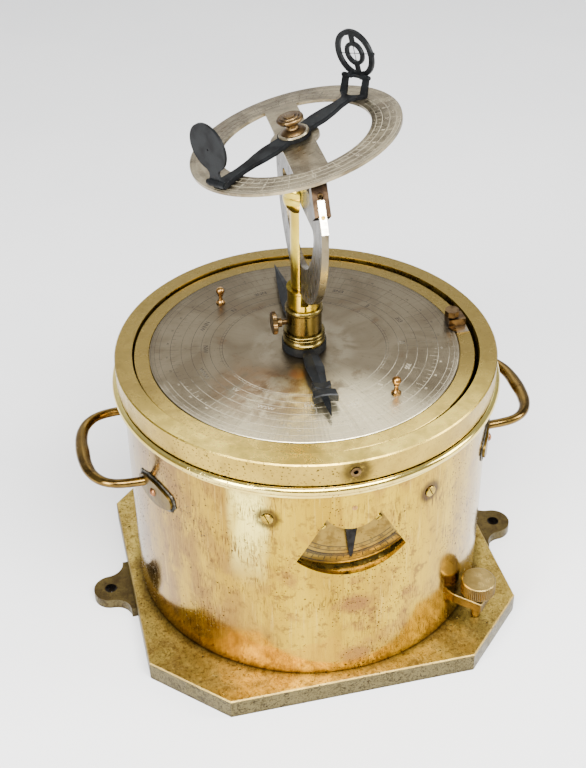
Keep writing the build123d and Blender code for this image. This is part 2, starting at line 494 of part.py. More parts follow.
def make_arc():
    half = ARC_T / 2
    low, top = SLANT_LOW, SLANT_TOP
    inner_u = sqrt(ARC_IN ** 2 - 25)
    outline = make_face([
        ThreePointArc((-low[0], low[1]), (0, -sqrt(low[0] ** 2 + low[1] ** 2)), (low[0], low[1])),
        Polyline(low, top, (53, top[1]), (49, 14), (-49, 14), (-53, top[1]), (-top[0], top[1]),
                 (-low[0], low[1]))])
    window = make_face([ThreePointArc((-inner_u, -5), (0, -ARC_IN), (inner_u, -5)),
                        Line((inner_u, -5), (-inner_u, -5))])
    window = fillet(window.vertices(), 5)
    plate_ = slab(outline - window, -half, half) - bar_x(TILT_PIN_R + FIT, -10, 10)
    ux, vx = (top[0] - low[0]) / 21.34, (top[1] - low[1]) / 21.34    # unit vector up the slant
    strips, screws, forks, pivots = [], [], [], []
    for sgn in (-1, 1):
        def at(s, n):
            """Point s along the slant and n outward from it."""
            return (sgn * (low[0] + ux * s + vx * n), low[1] + vx * s - ux * n)
        strip = slab(make_face(Polyline(at(0, 0), at(20.5, 0), at(20.5, 1.1), at(0, 1.1), close=True)),
                     -half + 0.1, half - 0.1)
        mid = at(10.2, 0)
        tilt = Pos(0, mid[0], mid[1]) * Rot(sgn * 37.2, 0, 0) * Rot(0, 0, 0 if sgn > 0 else 180) \
            * Rot(-90, 0, 0)
        strip = strip - tilt * rod(0.9 + SEAT, -6, 6)
        plate_ = plate_ - tilt * rod(0.9 + SEAT, -6, 6)
        screws.append(tilt * (rod(0.9, -5, 1.1) + Pos(0, 0, 1.1) * slotted_head(1.3, 0.5, 0.4)))
        strips.append(strip)
        fork = slab(make_face(Polyline(at(10.6, 1.4), (sgn * 54.6, 29.6), (sgn * FORK_U, 29.6),
                                       (sgn * FORK_U, 17.5), at(10.6, -7.5), close=True)),
                    -FORK_W / 2, FORK_W / 2)
        fork = fork - slab(make_face(Polyline((sgn * 40, -10), (sgn * 90, -10), (sgn * 90, top[1] + 0.3),
                                              (sgn * 40, top[1] + 0.3), close=True)),
                           -half - 0.02, half + 0.02)
        axis = Pos(0, 0, LEAN_V)
        lo, hi = sorted((sgn * 47.2, sgn * 58.6))
        head = sorted((sgn * 57.6, sgn * 59.2))
        fork = fork - axis * bar_y(LEAN_PIN_R + SEAT, *sorted((sgn * 40, sgn * 70))) \
            - axis * bar_y(1.8 + SEAT, *sorted((sgn * 57.6, sgn * 70)))
        pivots.append(axis * (bar_y(LEAN_PIN_R, lo, hi) + bar_y(1.8, *head)
                              - bar_y(0.9, *sorted((sgn * 58.4, sgn * 60)))))
        forks.append(fork)
    tab = slab(Pos(-35.2, -35.5) * Circle(2.6), -1.7, 1.7) & bar_x(ARC_IN, -5, 5)
    PARTS["latitude_arc"] = ARC_FRAME * plate_
    PARTS["arc_index_strips"] = ARC_FRAME * group(*strips)
    PARTS["arc_index_screws"] = ARC_FRAME * group(*screws)
    PARTS["arc_forks"] = ARC_FRAME * group(*forks)
    PARTS["arc_lean_screws"] = ARC_FRAME * group(*pivots)
    PARTS["arc_stop_tab"] = ARC_FRAME * tab


# ---- hour ring ----------------------------------------------------------------------
def make_hour_ring():
    h = RING_T / 2
    body = rod(RING_R, -h, h) - rod(RING_IN, -5, 5)
    bridge = block(-BRIDGE_W / 2, BRIDGE_W / 2, -RING_IN - 2, RING_IN + 2, -h, h) + rod(HUB_R, -h, h)
    body = body + bridge - rod(3.0 + FIT, -10, 10)
    lugs = []
    for sgn in (-1, 1):
        lug = block(-3.5, 3.5, *sorted((sgn * 46.0, sgn * (FORK_U - GAP))), -RING_H - 1, -h)
        lug = lug + Pos(0, 0, -RING_H) * bar_y(3.5, *sorted((sgn * 46.0, sgn * (FORK_U - GAP))))
        lugs.append(lug - Pos(0, 0, -RING_H) * bar_y(LEAN_PIN_R + FIT, -60, 60))
    PARTS["hour_ring"] = RING_FRAME * body
    PARTS["hour_ring_lugs"] = RING_FRAME * group(*lugs)


# ---- alidade ------------------------------------------------------------------------
def barrel(place, radius, y0, y1):
    """Knuckles on both sides of a hinge at (x, z), between two distances from the mid plane."""
    x, z = place
    return [Pos(x, 0, z) * bar_y(radius, *sorted((sgn * y0, sgn * y1))) for sgn in (-1, 1)]


def make_alidade():
    """Bar along X in the ring's plane: object vane at +X, eye vane at -X."""
    arm = [(8, 5.8), (14, 6.4), (21, 7.0), (30, 6.1), (38, 4.5), (46, 4.0)]
    (ex, ez), (ox, oz) = EYE_HINGE, OBJ_HINGE
    obj = arm + [(49.5, 6.4), (52.6, LEG_OUT - 0.4), (54.2, LEG_OUT), (54.2, LEG_IN), (52.4, 5.4), (50.8, 0)]
    eye = arm + [(55, 4.6), (60.5, 5.8), (ex - 2.6, 5.8), (ex - 2.6, EYE_TONGUE), (ex, EYE_TONGUE), (ex, 0)]
    outline = obj + [(x, -y) for x, y in reversed(obj[:-1])]
    outline += [(-x, -y) for x, y in eye] + [(-x, y) for x, y in reversed(eye[:-1])]
    bar = plate(outline, BAR_Z0, BAR_Z1)
    bar = chamfer(bar.edges().group_by(Axis.Z)[-1], 0.7) + rod(10.5, BAR_Z0, BAR_Z1)
    # tongue with a barrel for the eye vane; two prongs bent up for the object vane
    bar = bar + Pos(-ex, 0, ez) * bar_y(2.2, -EYE_TONGUE, EYE_TONGUE)
    leg = make_face(Polyline((52.8, BAR_Z0), (55.0, BAR_Z0), (ox + 0.9, oz - 0.6), (ox - 0.9, oz + 0.6),
                             (52.8, BAR_Z1), close=True))
    for sgn in (-1, 1):
        bar = bar + prism_y(leg, *sorted((sgn * LEG_IN, sgn * LEG_OUT)))
    for knuckle in barrel(OBJ_HINGE, LEG_END, LEG_IN, LEG_OUT):
        bar = bar + knuckle
    for x, z in ((-ex, ez), (ox, oz)):
        bar = bar - Pos(x, 0, z) * bar_y(VANE_PIN_R + SEAT, -20, 20)
    bar = bar - rod(3.0 + SEAT, -5, 10)
    washer = turned([(3.0 + SEAT, BAR_Z1), (9.8, BAR_Z1), (9.4, BAR_Z1 + 1.1), (3.0 + SEAT, BAR_Z1 + 1.1)])
    foot, top = BAR_Z1 + 1.1, BAR_Z1 + 1.1 + KNOB_H
    knob = revolve(Plane.XZ * make_face([
        Line((0, -5.9), (3.0, -5.9)), Line((3.0, -5.9), (3.0, foot)), Line((3.0, foot), (8.0, foot)),
        ThreePointArc((8.0, foot), (6.6, foot + 1.4), (4.6, foot + 2.4)),
        ThreePointArc((4.6, foot + 2.4), (3.9, foot + 4.2), (4.8, top - 5.2)),
        Line((4.8, top - 5.2), (7.6, top - 4.2)),
        ThreePointArc((7.6, top - 4.2), (8.5, top - 2.8), (7.6, top - 1.4)),
        Line((7.6, top - 1.4), (6.2, top - 1.4)), Line((6.2, top - 1.4), (5.9, top - 0.8)),
        Line((5.9, top - 0.8), (4.0, top - 0.8)), Line((4.0, top - 0.8), (3.8, top - 0.2)),
        Line((3.8, top - 0.2), (0, top)), Line((0, top), (0, -5.9))]), Axis.Z)
    nut = turned([(3.0 + SEAT, -5.2), (5.6, -5.2), (6.2, -4.6), (6.2, -1.9), (5.6, -RING_T / 2 - GAP),
                  (3.0 + SEAT, -RING_T / 2 - GAP)])
    PARTS["alidade_bar"] = ALIDADE_FRAME * bar
    PARTS["alidade_washer"] = ALIDADE_FRAME * washer
    PARTS["alidade_knob"] = ALIDADE_FRAME * knob
    PARTS["alidade_nut"] = ALIDADE_FRAME * nut


def make_eye_vane():
    """Blind disc with a peep hole, on a neck that flares to two knuckles."""
    (hr, hz), (cr, cz) = EYE_HINGE, EYE_C
    at = Pos(-cr, 0, cz) * Rot(0, -90 + EYE_LEAN, 0)            # local X is up, local Z outward
    drop = (cr - hr) * sin(radians(EYE_LEAN)) + (hz - cz) * cos(radians(EYE_LEAN))
    gap = EYE_TONGUE + GAP + 0.1
    left = [(drop + 2.5, gap), (drop, gap), (drop, EYE_LEFT), (drop + 2.2, EYE_LEFT), (drop + 4.0, 4.3),
            (drop + 6.2, 4.0), (1.9 - EYE_R, 6.0)]
    right = [(1.9 - EYE_R, -6.0), (drop + 6.2, -4.0), (drop + 4.0, -4.6), (drop + 1.8, -EYE_RIGHT),
             (drop, -EYE_RIGHT), (drop, -gap), (drop + 2.5, -gap)]
    vane = at * (rod(EYE_R, -EYE_T, 0) + plate(left + right, -EYE_T, 0))
    for lo, hi in ((gap, EYE_LEFT), (-EYE_RIGHT, -gap)):
        vane = vane + Pos(-hr, 0, hz) * bar_y(2.2, lo, hi)
    vane = vane - at * Pos(-1.2, 0, 0) * rod(0.75, -10, 10)
    vane = vane - Pos(-hr, 0, hz) * bar_y(VANE_PIN_R + FIT, -20, 20)
    pin = Pos(-hr, 0, hz) * (bar_y(VANE_PIN_R, -EYE_RIGHT - 0.4, EYE_LEFT + 0.5)
                             + bar_y(1.7, EYE_LEFT + GAP, EYE_LEFT + 1.9)
                             + bar_y(1.5, -EYE_RIGHT - 1.0, -EYE_RIGHT - GAP))
    PARTS["eye_vane"] = ALIDADE_FRAME * vane
    PARTS["eye_vane_pin"] = ALIDADE_FRAME * pin


def make_object_vane():
    """Open frame with a small inner ring and cross wires, on two lugs between the prongs."""
    (hr, hz), (cr, cz) = OBJ_HINGE, OBJ_C
    at = Pos(cr, 0, cz) * Rot(0, 90 + OBJ_LEAN, 0)             # local -X is up, local Z outward
    flat = Circle(OBJ_R) - Circle(OBJ_IN) + (Circle(7.7) - Circle(5.2))
    for sgn in (-1, 1):
        flat = flat + Pos(sgn * 10.2, 0) * Rectangle(6.4, 2.8)
    vane = at * Pos(0, 0, -OBJ_T / 2) * extrude(flat, OBJ_T)
    lug = make_face(Polyline((hr, hz + LEG_END), (cr - 0.3, hz + 2.8), (cr - 0.3, hz - 0.2),
                             (hr + 0.9, hz - 1.3), close=True))
    for sgn in (-1, 1):
        vane = vane + prism_y(lug, *sorted((sgn * LUG_IN, sgn * (LEG_IN - GAP))))
    for knuckle in barrel(OBJ_HINGE, LEG_END, LUG_IN, LEG_IN - GAP):
        vane = vane + knuckle
    vane = vane - Pos(hr, 0, hz) * bar_y(VANE_PIN_R + FIT, -20, 20)
    # sighting wires let into the frame, and the stud that holds one end
    level = at * Rot(0, 0, WIRE_TURN)
    cross = level * bar_y(0.25, -OBJ_R + 1.2, OBJ_R + 0.6) + at * bar_x(0.25, -7.0, 7.0)
    stud = level * bar_y(1.1, -OBJ_R - 0.9, -OBJ_R + 1.4)
    vane = vane - level * (bar_y(0.25 + SEAT, -30, 30) + bar_y(1.1 + SEAT, -30, -OBJ_R + 1.45))
    vane = vane - at * bar_x(0.25 + SEAT, -7.2, 7.2)
    pin = Pos(hr, 0, hz) * bar_y(VANE_PIN_R, -LEG_OUT - 0.5, LEG_OUT + 0.5)
    for head in barrel(OBJ_HINGE, 1.3, LEG_OUT + 0.05, LEG_OUT + 0.8):
        pin = pin + head
    PARTS["object_vane"] = ALIDADE_FRAME * vane
    PARTS["object_vane_wires"] = ALIDADE_FRAME * (cross + stud)
    PARTS["object_vane_pin"] = ALIDADE_FRAME * pin


make_base()
drum_shell = make_handles(make_drum())
make_base_clamp()
drum_shell = make_clinometer(drum_shell)
PARTS["drum_shell"] = drum_shell
make_bowl()
make_dial()
make_column()
make_arc()
make_hour_ring()
make_alidade()
make_eye_vane()
make_object_vane()

os.makedirs("parts", exist_ok=True)
for node, shape in PARTS.items():
    export_step(shape, f"parts/{node}.step")
print(len(PARTS), "nodes written")
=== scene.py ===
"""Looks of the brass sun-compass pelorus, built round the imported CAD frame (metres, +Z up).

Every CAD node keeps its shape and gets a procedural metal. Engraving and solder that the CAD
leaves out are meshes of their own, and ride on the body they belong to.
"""
import bpy
import bmesh
import json
import random
from math import asin, sin, cos, pi, radians, tau
from mathutils import Matrix, Vector


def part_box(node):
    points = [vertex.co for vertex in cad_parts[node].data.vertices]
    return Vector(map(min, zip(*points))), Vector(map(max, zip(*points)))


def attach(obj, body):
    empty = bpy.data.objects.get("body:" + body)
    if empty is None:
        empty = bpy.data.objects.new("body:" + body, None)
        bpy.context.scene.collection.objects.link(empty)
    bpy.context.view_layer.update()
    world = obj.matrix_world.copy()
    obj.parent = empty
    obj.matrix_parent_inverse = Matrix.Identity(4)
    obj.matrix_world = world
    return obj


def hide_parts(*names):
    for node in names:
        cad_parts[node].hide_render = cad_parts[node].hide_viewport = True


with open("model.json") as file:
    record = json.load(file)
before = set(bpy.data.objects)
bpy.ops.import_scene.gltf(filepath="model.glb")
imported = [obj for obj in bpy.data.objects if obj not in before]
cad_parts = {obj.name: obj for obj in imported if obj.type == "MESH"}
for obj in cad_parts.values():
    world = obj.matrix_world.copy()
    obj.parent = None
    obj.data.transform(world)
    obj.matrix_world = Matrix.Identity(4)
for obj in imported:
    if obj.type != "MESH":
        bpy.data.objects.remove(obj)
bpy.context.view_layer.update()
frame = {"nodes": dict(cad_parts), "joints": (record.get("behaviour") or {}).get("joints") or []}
NODES = frame["nodes"]
JOINTS = {j["name"]: j for j in frame["joints"]}
MM = 0.001
# azimuth of the painted highlight stripe down the drum's front left
HIGHLIGHT_AZIMUTH = radians(-31)
# the front direction: turned tops facing it keep their painted highlight, those facing away take painted
# shade
FRONT = (-0.08, -0.997, 0.0)


def joint_place(name):
    """A joint's position and unit axis."""
    return Vector(JOINTS[name]["pos_m"]), Vector(JOINTS[name]["axis"]).normalized()


def placed(origin, x_axis, z_axis):
    """Matrix of a right-handed frame from its origin, X and Z."""
    z = z_axis.normalized()
    x = (x_axis - z * x_axis.dot(z)).normalized()
    y = z.cross(x)
    m = Matrix((x, y, z)).transposed().to_4x4()
    m.translation = origin
    return m


# ---- places read from the frame -----------------------------------------------------------
BOWL_X = joint_place("dial_turn")[0].x
DIAL_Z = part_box("dial_plate")[1].z
DIAL_R = (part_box("dial_plate")[1].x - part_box("dial_plate")[0].x) / 2
DRUM_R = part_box("drum_shell")[1].x
CLINO_Z = joint_place("pendulum_swing")[0].z
PLATE_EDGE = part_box("base_plate")[1].y + 0.0001
LUG_BORE = 4.15 * MM
LUG_END_R = 12.5 * MM
LUG_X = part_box("base_plate")[1].x - LUG_END_R
SCREW_LOW, SCREW_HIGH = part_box("drum_screws")
SCREW_HEAD_R, SCREW_DEPTH = 3.8 * MM, 2.2 * MM
RIVET_LOW, RIVET_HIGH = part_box("drum_rivets")
RIVET_R = 2.8 * MM
SWING_PIN = Vector((0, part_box("swing_pins")[0].y, joint_place("bowl_swing")[0].z))
RING_C, RING_N = joint_place("alidade_turn")
RING_Y = joint_place("ring_lean")[1]
ARC_P, ARC_X = joint_place("arc_tilt")
RING_FRAME = placed(RING_C, RING_Y.cross(RING_N), RING_N)
ARC_FRAME = placed(ARC_P, ARC_X, ARC_X.cross(RING_Y))
DIAL_FRAME = Matrix.Translation((BOWL_X, 0, DIAL_Z))


# ---- shader building blocks ----------------------------------------------------------------
class Graph:
    """One material: short calls that add nodes and return their output socket."""

    def __init__(self, name):
        self.mat = bpy.data.materials.new(name)
        self.mat.use_nodes = True
        self.tree = self.mat.node_tree
        self.shader = self.tree.nodes["Principled BSDF"]
        coords = self.add("ShaderNodeTexCoord")
        self.place = coords.outputs["Object"]
        self.facing = coords.outputs["Normal"]

    def add(self, kind, **settings):
        node = self.tree.nodes.new(kind)
        for key, value in settings.items():
            setattr(node, key, value)
        return node

    def wire(self, value, socket):
        """Link a socket, or write a constant."""
        if isinstance(value, bpy.types.NodeSocket):
            self.tree.links.new(value, socket)
        elif isinstance(value, (tuple, list)) and len(value) == 3 and socket.type == "RGBA":
            socket.default_value = (*value, 1.0)
        else:
            socket.default_value = value

    def math(self, op, a, b=0.0):
        node = self.add("ShaderNodeMath", operation=op)
        self.wire(a, node.inputs[0])
        self.wire(b, node.inputs[1])
        return node.outputs[0]

    def plus(self, a, b):
        return self.math("ADD", a, b)

    def minus(self, a, b):
        return self.math("SUBTRACT", a, b)

    def times(self, a, b):
        return self.math("MULTIPLY", a, b)

    def most(self, a, b):
        """The larger of two values."""
        return self.math("MAXIMUM", a, b)

    def unsigned(self, a):
        return self.math("ABSOLUTE", a)

    def vector(self, op, a, b=(0, 0, 0)):
        node = self.add("ShaderNodeVectorMath", operation=op)
        self.wire(a, node.inputs[0])
        self.wire(b, node.inputs[1])
        return node.outputs["Value"] if op in ("LENGTH", "DOT_PRODUCT", "DISTANCE") else node.outputs[0]

    def split(self, vec):
        node = self.add("ShaderNodeSeparateXYZ")
        self.wire(vec, node.inputs[0])
        return node.outputs[0], node.outputs[1], node.outputs[2]

    def join(self, x, y, z):
        node = self.add("ShaderNodeCombineXYZ")
        for value, socket in zip((x, y, z), node.inputs):
            self.wire(value, socket)
        return node.outputs[0]

    def noise(self, scale, detail=4.0, vec=None, rough=0.55, warp=0.0):
        node = self.add("ShaderNodeTexNoise")
        self.wire(vec if vec is not None else self.place, node.inputs["Vector"])
        node.inputs["Scale"].default_value = scale
        node.inputs["Detail"].default_value = detail
        node.inputs["Roughness"].default_value = rough
        node.inputs["Distortion"].default_value = warp
        return node.outputs["Fac"]

    def cells(self, scale, vec=None):
        node = self.add("ShaderNodeTexVoronoi")
        self.wire(vec if vec is not None else self.place, node.inputs["Vector"])
        node.inputs["Scale"].default_value = scale
        return node.outputs["Distance"]

    def remap(self, value, lo, hi, out_lo=0.0, out_hi=1.0):
        node = self.add("ShaderNodeMapRange", interpolation_type="SMOOTHSTEP")
        self.wire(value, node.inputs[0])
        for socket, number in zip(node.inputs[1:5], (lo, hi, out_lo, out_hi)):
            self.wire(number, socket)
        return node.outputs[0]

    def mix(self, fac, a, b):
        node = self.add("ShaderNodeMix", data_type="RGBA")
        self.wire(fac, node.inputs[0])
        self.wire(a, node.inputs[6])
        self.wire(b, node.inputs[7])
        return node.outputs[2]

    def polar(self, centre_x=0.0):
        """Distance from a vertical axis, and the direction round it as a unit vector."""
        x, y, z = self.split(self.place)
        flat = self.join(self.minus(x, centre_x), y, 0.0)
        radius = self.vector("LENGTH", flat)
        return radius, self.vector("NORMALIZE", flat), z

    def stretched(self, x, y, z):
        """Object coordinates scaled along each axis, so that a noise runs in streaks."""
        return self.vector("MULTIPLY", self.place, (x, y, z))

    def crevice(self, reach, open_at=0.85, shut_at=0.45):
        """1 in slots and inside corners, 0 on open faces: the mask that paints shade, with grime, into them.
        """
        node = self.add("ShaderNodeAmbientOcclusion", samples=4)
        node.inputs["Distance"].default_value = reach
        return self.remap(node.outputs["AO"], open_at, shut_at)

    def near(self, point, inner, outer, vec=None):
        """1 within inner of a point, falling to 0 at outer."""
        gap = self.vector("DISTANCE", vec if vec is not None else self.place, tuple(point))
        return self.remap(gap, outer, inner)

    def bump(self, height, distance, strength=1.0, after=None):
        node = self.add("ShaderNodeBump")
        node.inputs["Strength"].default_value = strength
        node.inputs["Distance"].default_value = distance
        self.wire(height, node.inputs["Height"])
        if after is not None:
            self.wire(after, node.inputs["Normal"])
        return node.outputs[0]

    def finish(self, colour, rough, normal=None, metallic=1.0, specular=0.5, brushed=0.0):
        """Close the material; brushed stretches its glints across grooves that run round its axis."""
        if brushed:
            turned = self.add("ShaderNodeTangent", direction_type="RADIAL", axis="Z")
            self.wire(turned.outputs[0], self.shader.inputs["Tangent"])
            self.shader.inputs["Anisotropic"].default_value = brushed
        self.wire(colour, self.shader.inputs["Base Color"])
        self.wire(rough, self.shader.inputs["Roughness"])
        self.shader.inputs["Metallic"].default_value = metallic
        self.shader.inputs["Specular IOR Level"].default_value = specular
        if normal is not None:
            self.wire(normal, self.shader.inputs["Normal"])
        return self.mat


def pits(g, scale, size, gather):
    """Small corrosion pits, 0 or 1: Voronoi dots kept where a broad noise gathers them."""
    dots = g.remap(g.cells(scale), size, size * 0.6)
    return g.times(dots, gather)


# ---- brass ---------------------------------------------------------------------------------
# heights on the drum, as (from, to): where the painted highlight stripe fades in, the top edge of the painted
# reflection of the base plate, painted shade at the foot and under the bead; last the most worn patch
HIGHLIGHT_RISE = (0.085, 0.150)
BASE_REFLECTION_EDGE = (0.0745, 0.0725)
FOOT_SHADE = (0.023, 0.0175)
BEAD_SHADE = (0.178, 0.190)
WORN_Z = 0.090


def sheet_tone(g, around, height, wipe):
    """Yellow sheet in soft bands, browner at the left with tarnish and painted shade, and a painted highlight
    stripe down the front left.
    """
    band = g.noise(1.0, 3, g.stretched(34, 34, 5), warp=0.5)
    colour = g.mix(g.remap(band, 0.36, 0.66), (0.500, 0.330, 0.018), (0.355, 0.216, 0.009))
    colour = g.mix(g.remap(wipe, 0.50, 0.74, 0, 0.5), colour, (0.255, 0.135, 0.018))
    # brown tarnish and painted shade down the drum's left side
    tarnish_and_shade = g.remap(g.vector("DOT_PRODUCT", around, (-0.94, -0.34, 0.0)), 0.62, 0.92)
    tarnish_and_shade = g.times(tarnish_and_shade, g.remap(wipe, 0.36, 0.56, 0.25, 0.75))
    colour = g.mix(tarnish_and_shade, colour, (0.200, 0.104, 0.030))
    # painted highlight: a bright stripe down the front left, in place of a lamp's glint on the sheet
    highlight_stripe = g.vector("DOT_PRODUCT", around, (sin(HIGHLIGHT_AZIMUTH), -cos(HIGHLIGHT_AZIMUTH), 0.0))
    highlight_stripe = g.plus(highlight_stripe, g.times(g.minus(wipe, 0.5), 0.012))
    highlight_stripe = g.remap(highlight_stripe, cos(radians(7.5)), cos(radians(0.5)))
    highlight_stripe = g.times(highlight_stripe, g.remap(height, *HIGHLIGHT_RISE))
    return g.mix(g.times(highlight_stripe, 0.85), colour, (1.0, 0.84, 0.22))


def sheet_rubbing(g, colour, rub, fine, cloud, broad):
    """Fine vertical rubbing and patches of dark hatching."""
    colour = g.mix(g.remap(rub, 0.56, 0.74, 0, 0.45), colour, (0.60, 0.42, 0.085))
    colour = g.mix(g.remap(rub, 0.44, 0.30, 0, 0.35), colour, (0.20, 0.105, 0.018))
    colour = g.mix(g.remap(fine, 0.53, 0.64, 0, 0.45), colour, (0.14, 0.072, 0.016))
    hatch = g.noise(1.0, 3, g.stretched(1300, 1300, 130), rough=0.7)
    hatch = g.times(g.remap(hatch, 0.53, 0.60), g.remap(cloud, 0.38, 0.54))
    hatch = g.times(hatch, g.remap(broad, 0.38, 0.58, 0.30, 0.90))
    return g.mix(hatch, colour, (0.090, 0.044, 0.011))


def sheet_blotches(g, x, y, z, cloud, front):
    """Brown blotches, thick at the front and round the flush rivets."""
    blotch = g.times(g.remap(cloud, 0.50, 0.64), g.remap(front, 0.0, 1.0, 0.15, 0.7))
    for rivet_z in (RIVET_LOW.z + RIVET_R, RIVET_HIGH.z - RIVET_R):
        wrapped = g.join(x, g.times(z, 1.4), g.times(cloud, 0.03))
        patch = g.near((0.002, rivet_z * 1.4, 0.015), 0.006, 0.0165, wrapped)
        blotch = g.most(blotch, g.times(patch, g.remap(y, 0.0, -0.05, 0, 0.85)))
    return blotch


def sheet_stains(g, colour, x, z, wipe, cloud, broad):
    """Painted reflection of the base plate at the lower left, painted shade at the foot and brown painted
    shade under the bead.
    """
    # painted reflection: the base plate's orange glow up the lower left of the sheet, under a wavy edge
    reflection_edge = g.plus(z, g.times(broad, 0.075))
    base_reflection = g.times(g.remap(reflection_edge, *BASE_REFLECTION_EDGE), g.remap(x, 0.03, -0.05))
    colour = g.mix(g.times(base_reflection, 0.5), colour, (0.40, 0.20, 0.014))
    # painted shade darkening the foot, where the drum stands on the base
    foot = g.remap(g.plus(z, g.times(cloud, 0.008)), *FOOT_SHADE)
    colour = g.mix(g.times(foot, 0.7), colour, (0.10, 0.045, 0.010))
    # painted shade under the bead
    under_bead = g.remap(g.plus(z, g.times(wipe, 0.02)), *BEAD_SHADE, 0, 0.5)
    return g.mix(under_bead, colour, (0.24, 0.11, 0.035))


def screw_halos(g, fine):
    """Grime round the two side screws."""
    halo = 0.0
    for side in (SCREW_LOW.x + SCREW_HEAD_R, SCREW_HIGH.x - SCREW_HEAD_R):
        spot = (side, SCREW_LOW.y + SCREW_DEPTH, (SCREW_LOW.z + SCREW_HIGH.z) / 2)
        halo = g.most(halo, g.near(spot, 0.0058, 0.0108))
    return g.times(halo, g.remap(fine, 0.22, 0.44))


def drum_brass():
    """Polished sheet: vertical rubbing, a painted highlight stripe, brown tarnish with painted shade, dark
    pits, a painted reflection of the base plate, and painted shade at the foot, under the bead and in
    corners.
    """
    g = Graph("drum_brass")
    x, y, z = g.split(g.place)
    _, around, _ = g.polar()
    rub = g.noise(1.0, 4, g.stretched(520, 520, 22))
    wipe = g.noise(1.0, 3, g.stretched(60, 60, 26), warp=0.6)
    broad = g.noise(17, 5, warp=0.8)
    cloud = g.noise(46, 6)
    fine = g.noise(150, 5, rough=0.7)
    colour = sheet_tone(g, around, z, wipe)
    colour = sheet_rubbing(g, colour, rub, fine, cloud, broad)
    centre = g.vector("LENGTH", g.join(x, g.minus(z, WORN_Z), 0.0))
    front = g.times(g.remap(centre, 0.085, 0.02), g.remap(y, 0.0, -0.05))
    blotch = sheet_blotches(g, x, y, z, cloud, front)
    colour = g.mix(blotch, colour, (0.215, 0.098, 0.028))
    grime = g.times(g.remap(fine, 0.55, 0.67), g.remap(front, 0.0, 1.0, 0.06, 0.6))
    colour = g.mix(grime, colour, (0.14, 0.062, 0.018))
    colour = sheet_stains(g, colour, x, z, wipe, cloud, broad)
    gather = g.remap(g.noise(26, 3), 0.48, 0.58)
    pit = g.most(pits(g, 420, 0.26, gather), pits(g, 190, 0.17, g.remap(broad, 0.52, 0.6)))
    # painted shade and grime in slots and inside corners; dirt below joins it to the pits and screw grime
    corner_shade = g.times(g.crevice(0.005), g.remap(fine, 0.30, 0.55, 0.35, 1.0))
    dirt = g.most(g.most(pit, screw_halos(g, fine)), g.times(corner_shade, 0.9))
    colour = g.mix(g.times(dirt, 0.85), colour, (0.03, 0.014, 0.006))
    rough = g.remap(rub, 0.3, 0.75, 0.12, 0.20)
    rough = g.plus(rough, g.times(blotch, 0.12))
    rough = g.plus(rough, g.times(pit, 0.3))
    normal = g.bump(rub, 0.000020, 0.4)
    normal = g.bump(g.noise(38, 2), 0.0011, 0.12, normal)
    normal = g.bump(pit, -0.00015, 0.6, normal)
    return g.finish(colour, rough, normal)


def casting_top(g, cloud, mottle):
    """Mottled olive-brown top with streaks."""
    broad = g.noise(22, 6, warp=1.2)
    colour = g.mix(g.remap(broad, 0.35, 0.65), (0.570, 0.420, 0.088), (0.365, 0.252, 0.052))
    colour = g.mix(g.remap(cloud, 0.48, 0.68, 0, 0.8), colour, (0.165, 0.105, 0.028))
    streak = g.noise(1.0, 5, g.stretched(900, 120, 60))
    colour = g.mix(g.remap(streak, 0.55, 0.72, 0, 0.6), colour, (0.085, 0.054, 0.018))
    colour = g.mix(g.remap(cloud, 0.40, 0.30, 0, 0.45), colour, (0.56, 0.40, 0.100))
    colour = g.mix(g.remap(mottle, 0.50, 0.61, 0, 0.72), colour, (0.110, 0.062, 0.018))
    return g.mix(g.remap(mottle, 0.46, 0.37, 0, 0.42), colour, (0.74, 0.53, 0.145))


def casting_sides(g, colour, x, y, cloud):
    """Dull scratched sides, smoky lugs with painted shade in their bores, and rubbed edges."""
    upright = g.unsigned(g.split(g.facing)[2])
    scrawl = g.noise(260, 5, rough=0.75, warp=2.2)
    flank = g.mix(g.remap(scrawl, 0.47, 0.60), (0.130, 0.104, 0.044), (0.034, 0.024, 0.010))
    colour = g.mix(g.remap(upright, 0.6, 0.3), colour, flank)
    lug = g.remap(g.unsigned(x), PLATE_EDGE, PLATE_EDGE + 0.0006)
    smoke = g.mix(cloud, (0.075, 0.050, 0.022), (0.026, 0.018, 0.009))
    colour = g.mix(g.times(lug, g.remap(upright, 0.3, 0.6, 0.35, 0.88)), colour, smoke)
    # painted shade: the lug bores painted near black, where the holes lie in shade
    bore_shade = g.vector("LENGTH", g.join(g.minus(g.unsigned(x), LUG_X), y, 0.0))
    colour = g.mix(g.remap(bore_shade, LUG_BORE + 0.0004, LUG_BORE + 0.0001), colour, (0.006, 0.004, 0.003))
    edge = g.times(g.remap(upright, 0.25, 0.5), g.remap(upright, 0.95, 0.8))
    return g.mix(g.times(edge, 0.70), colour, (0.33, 0.225, 0.070))


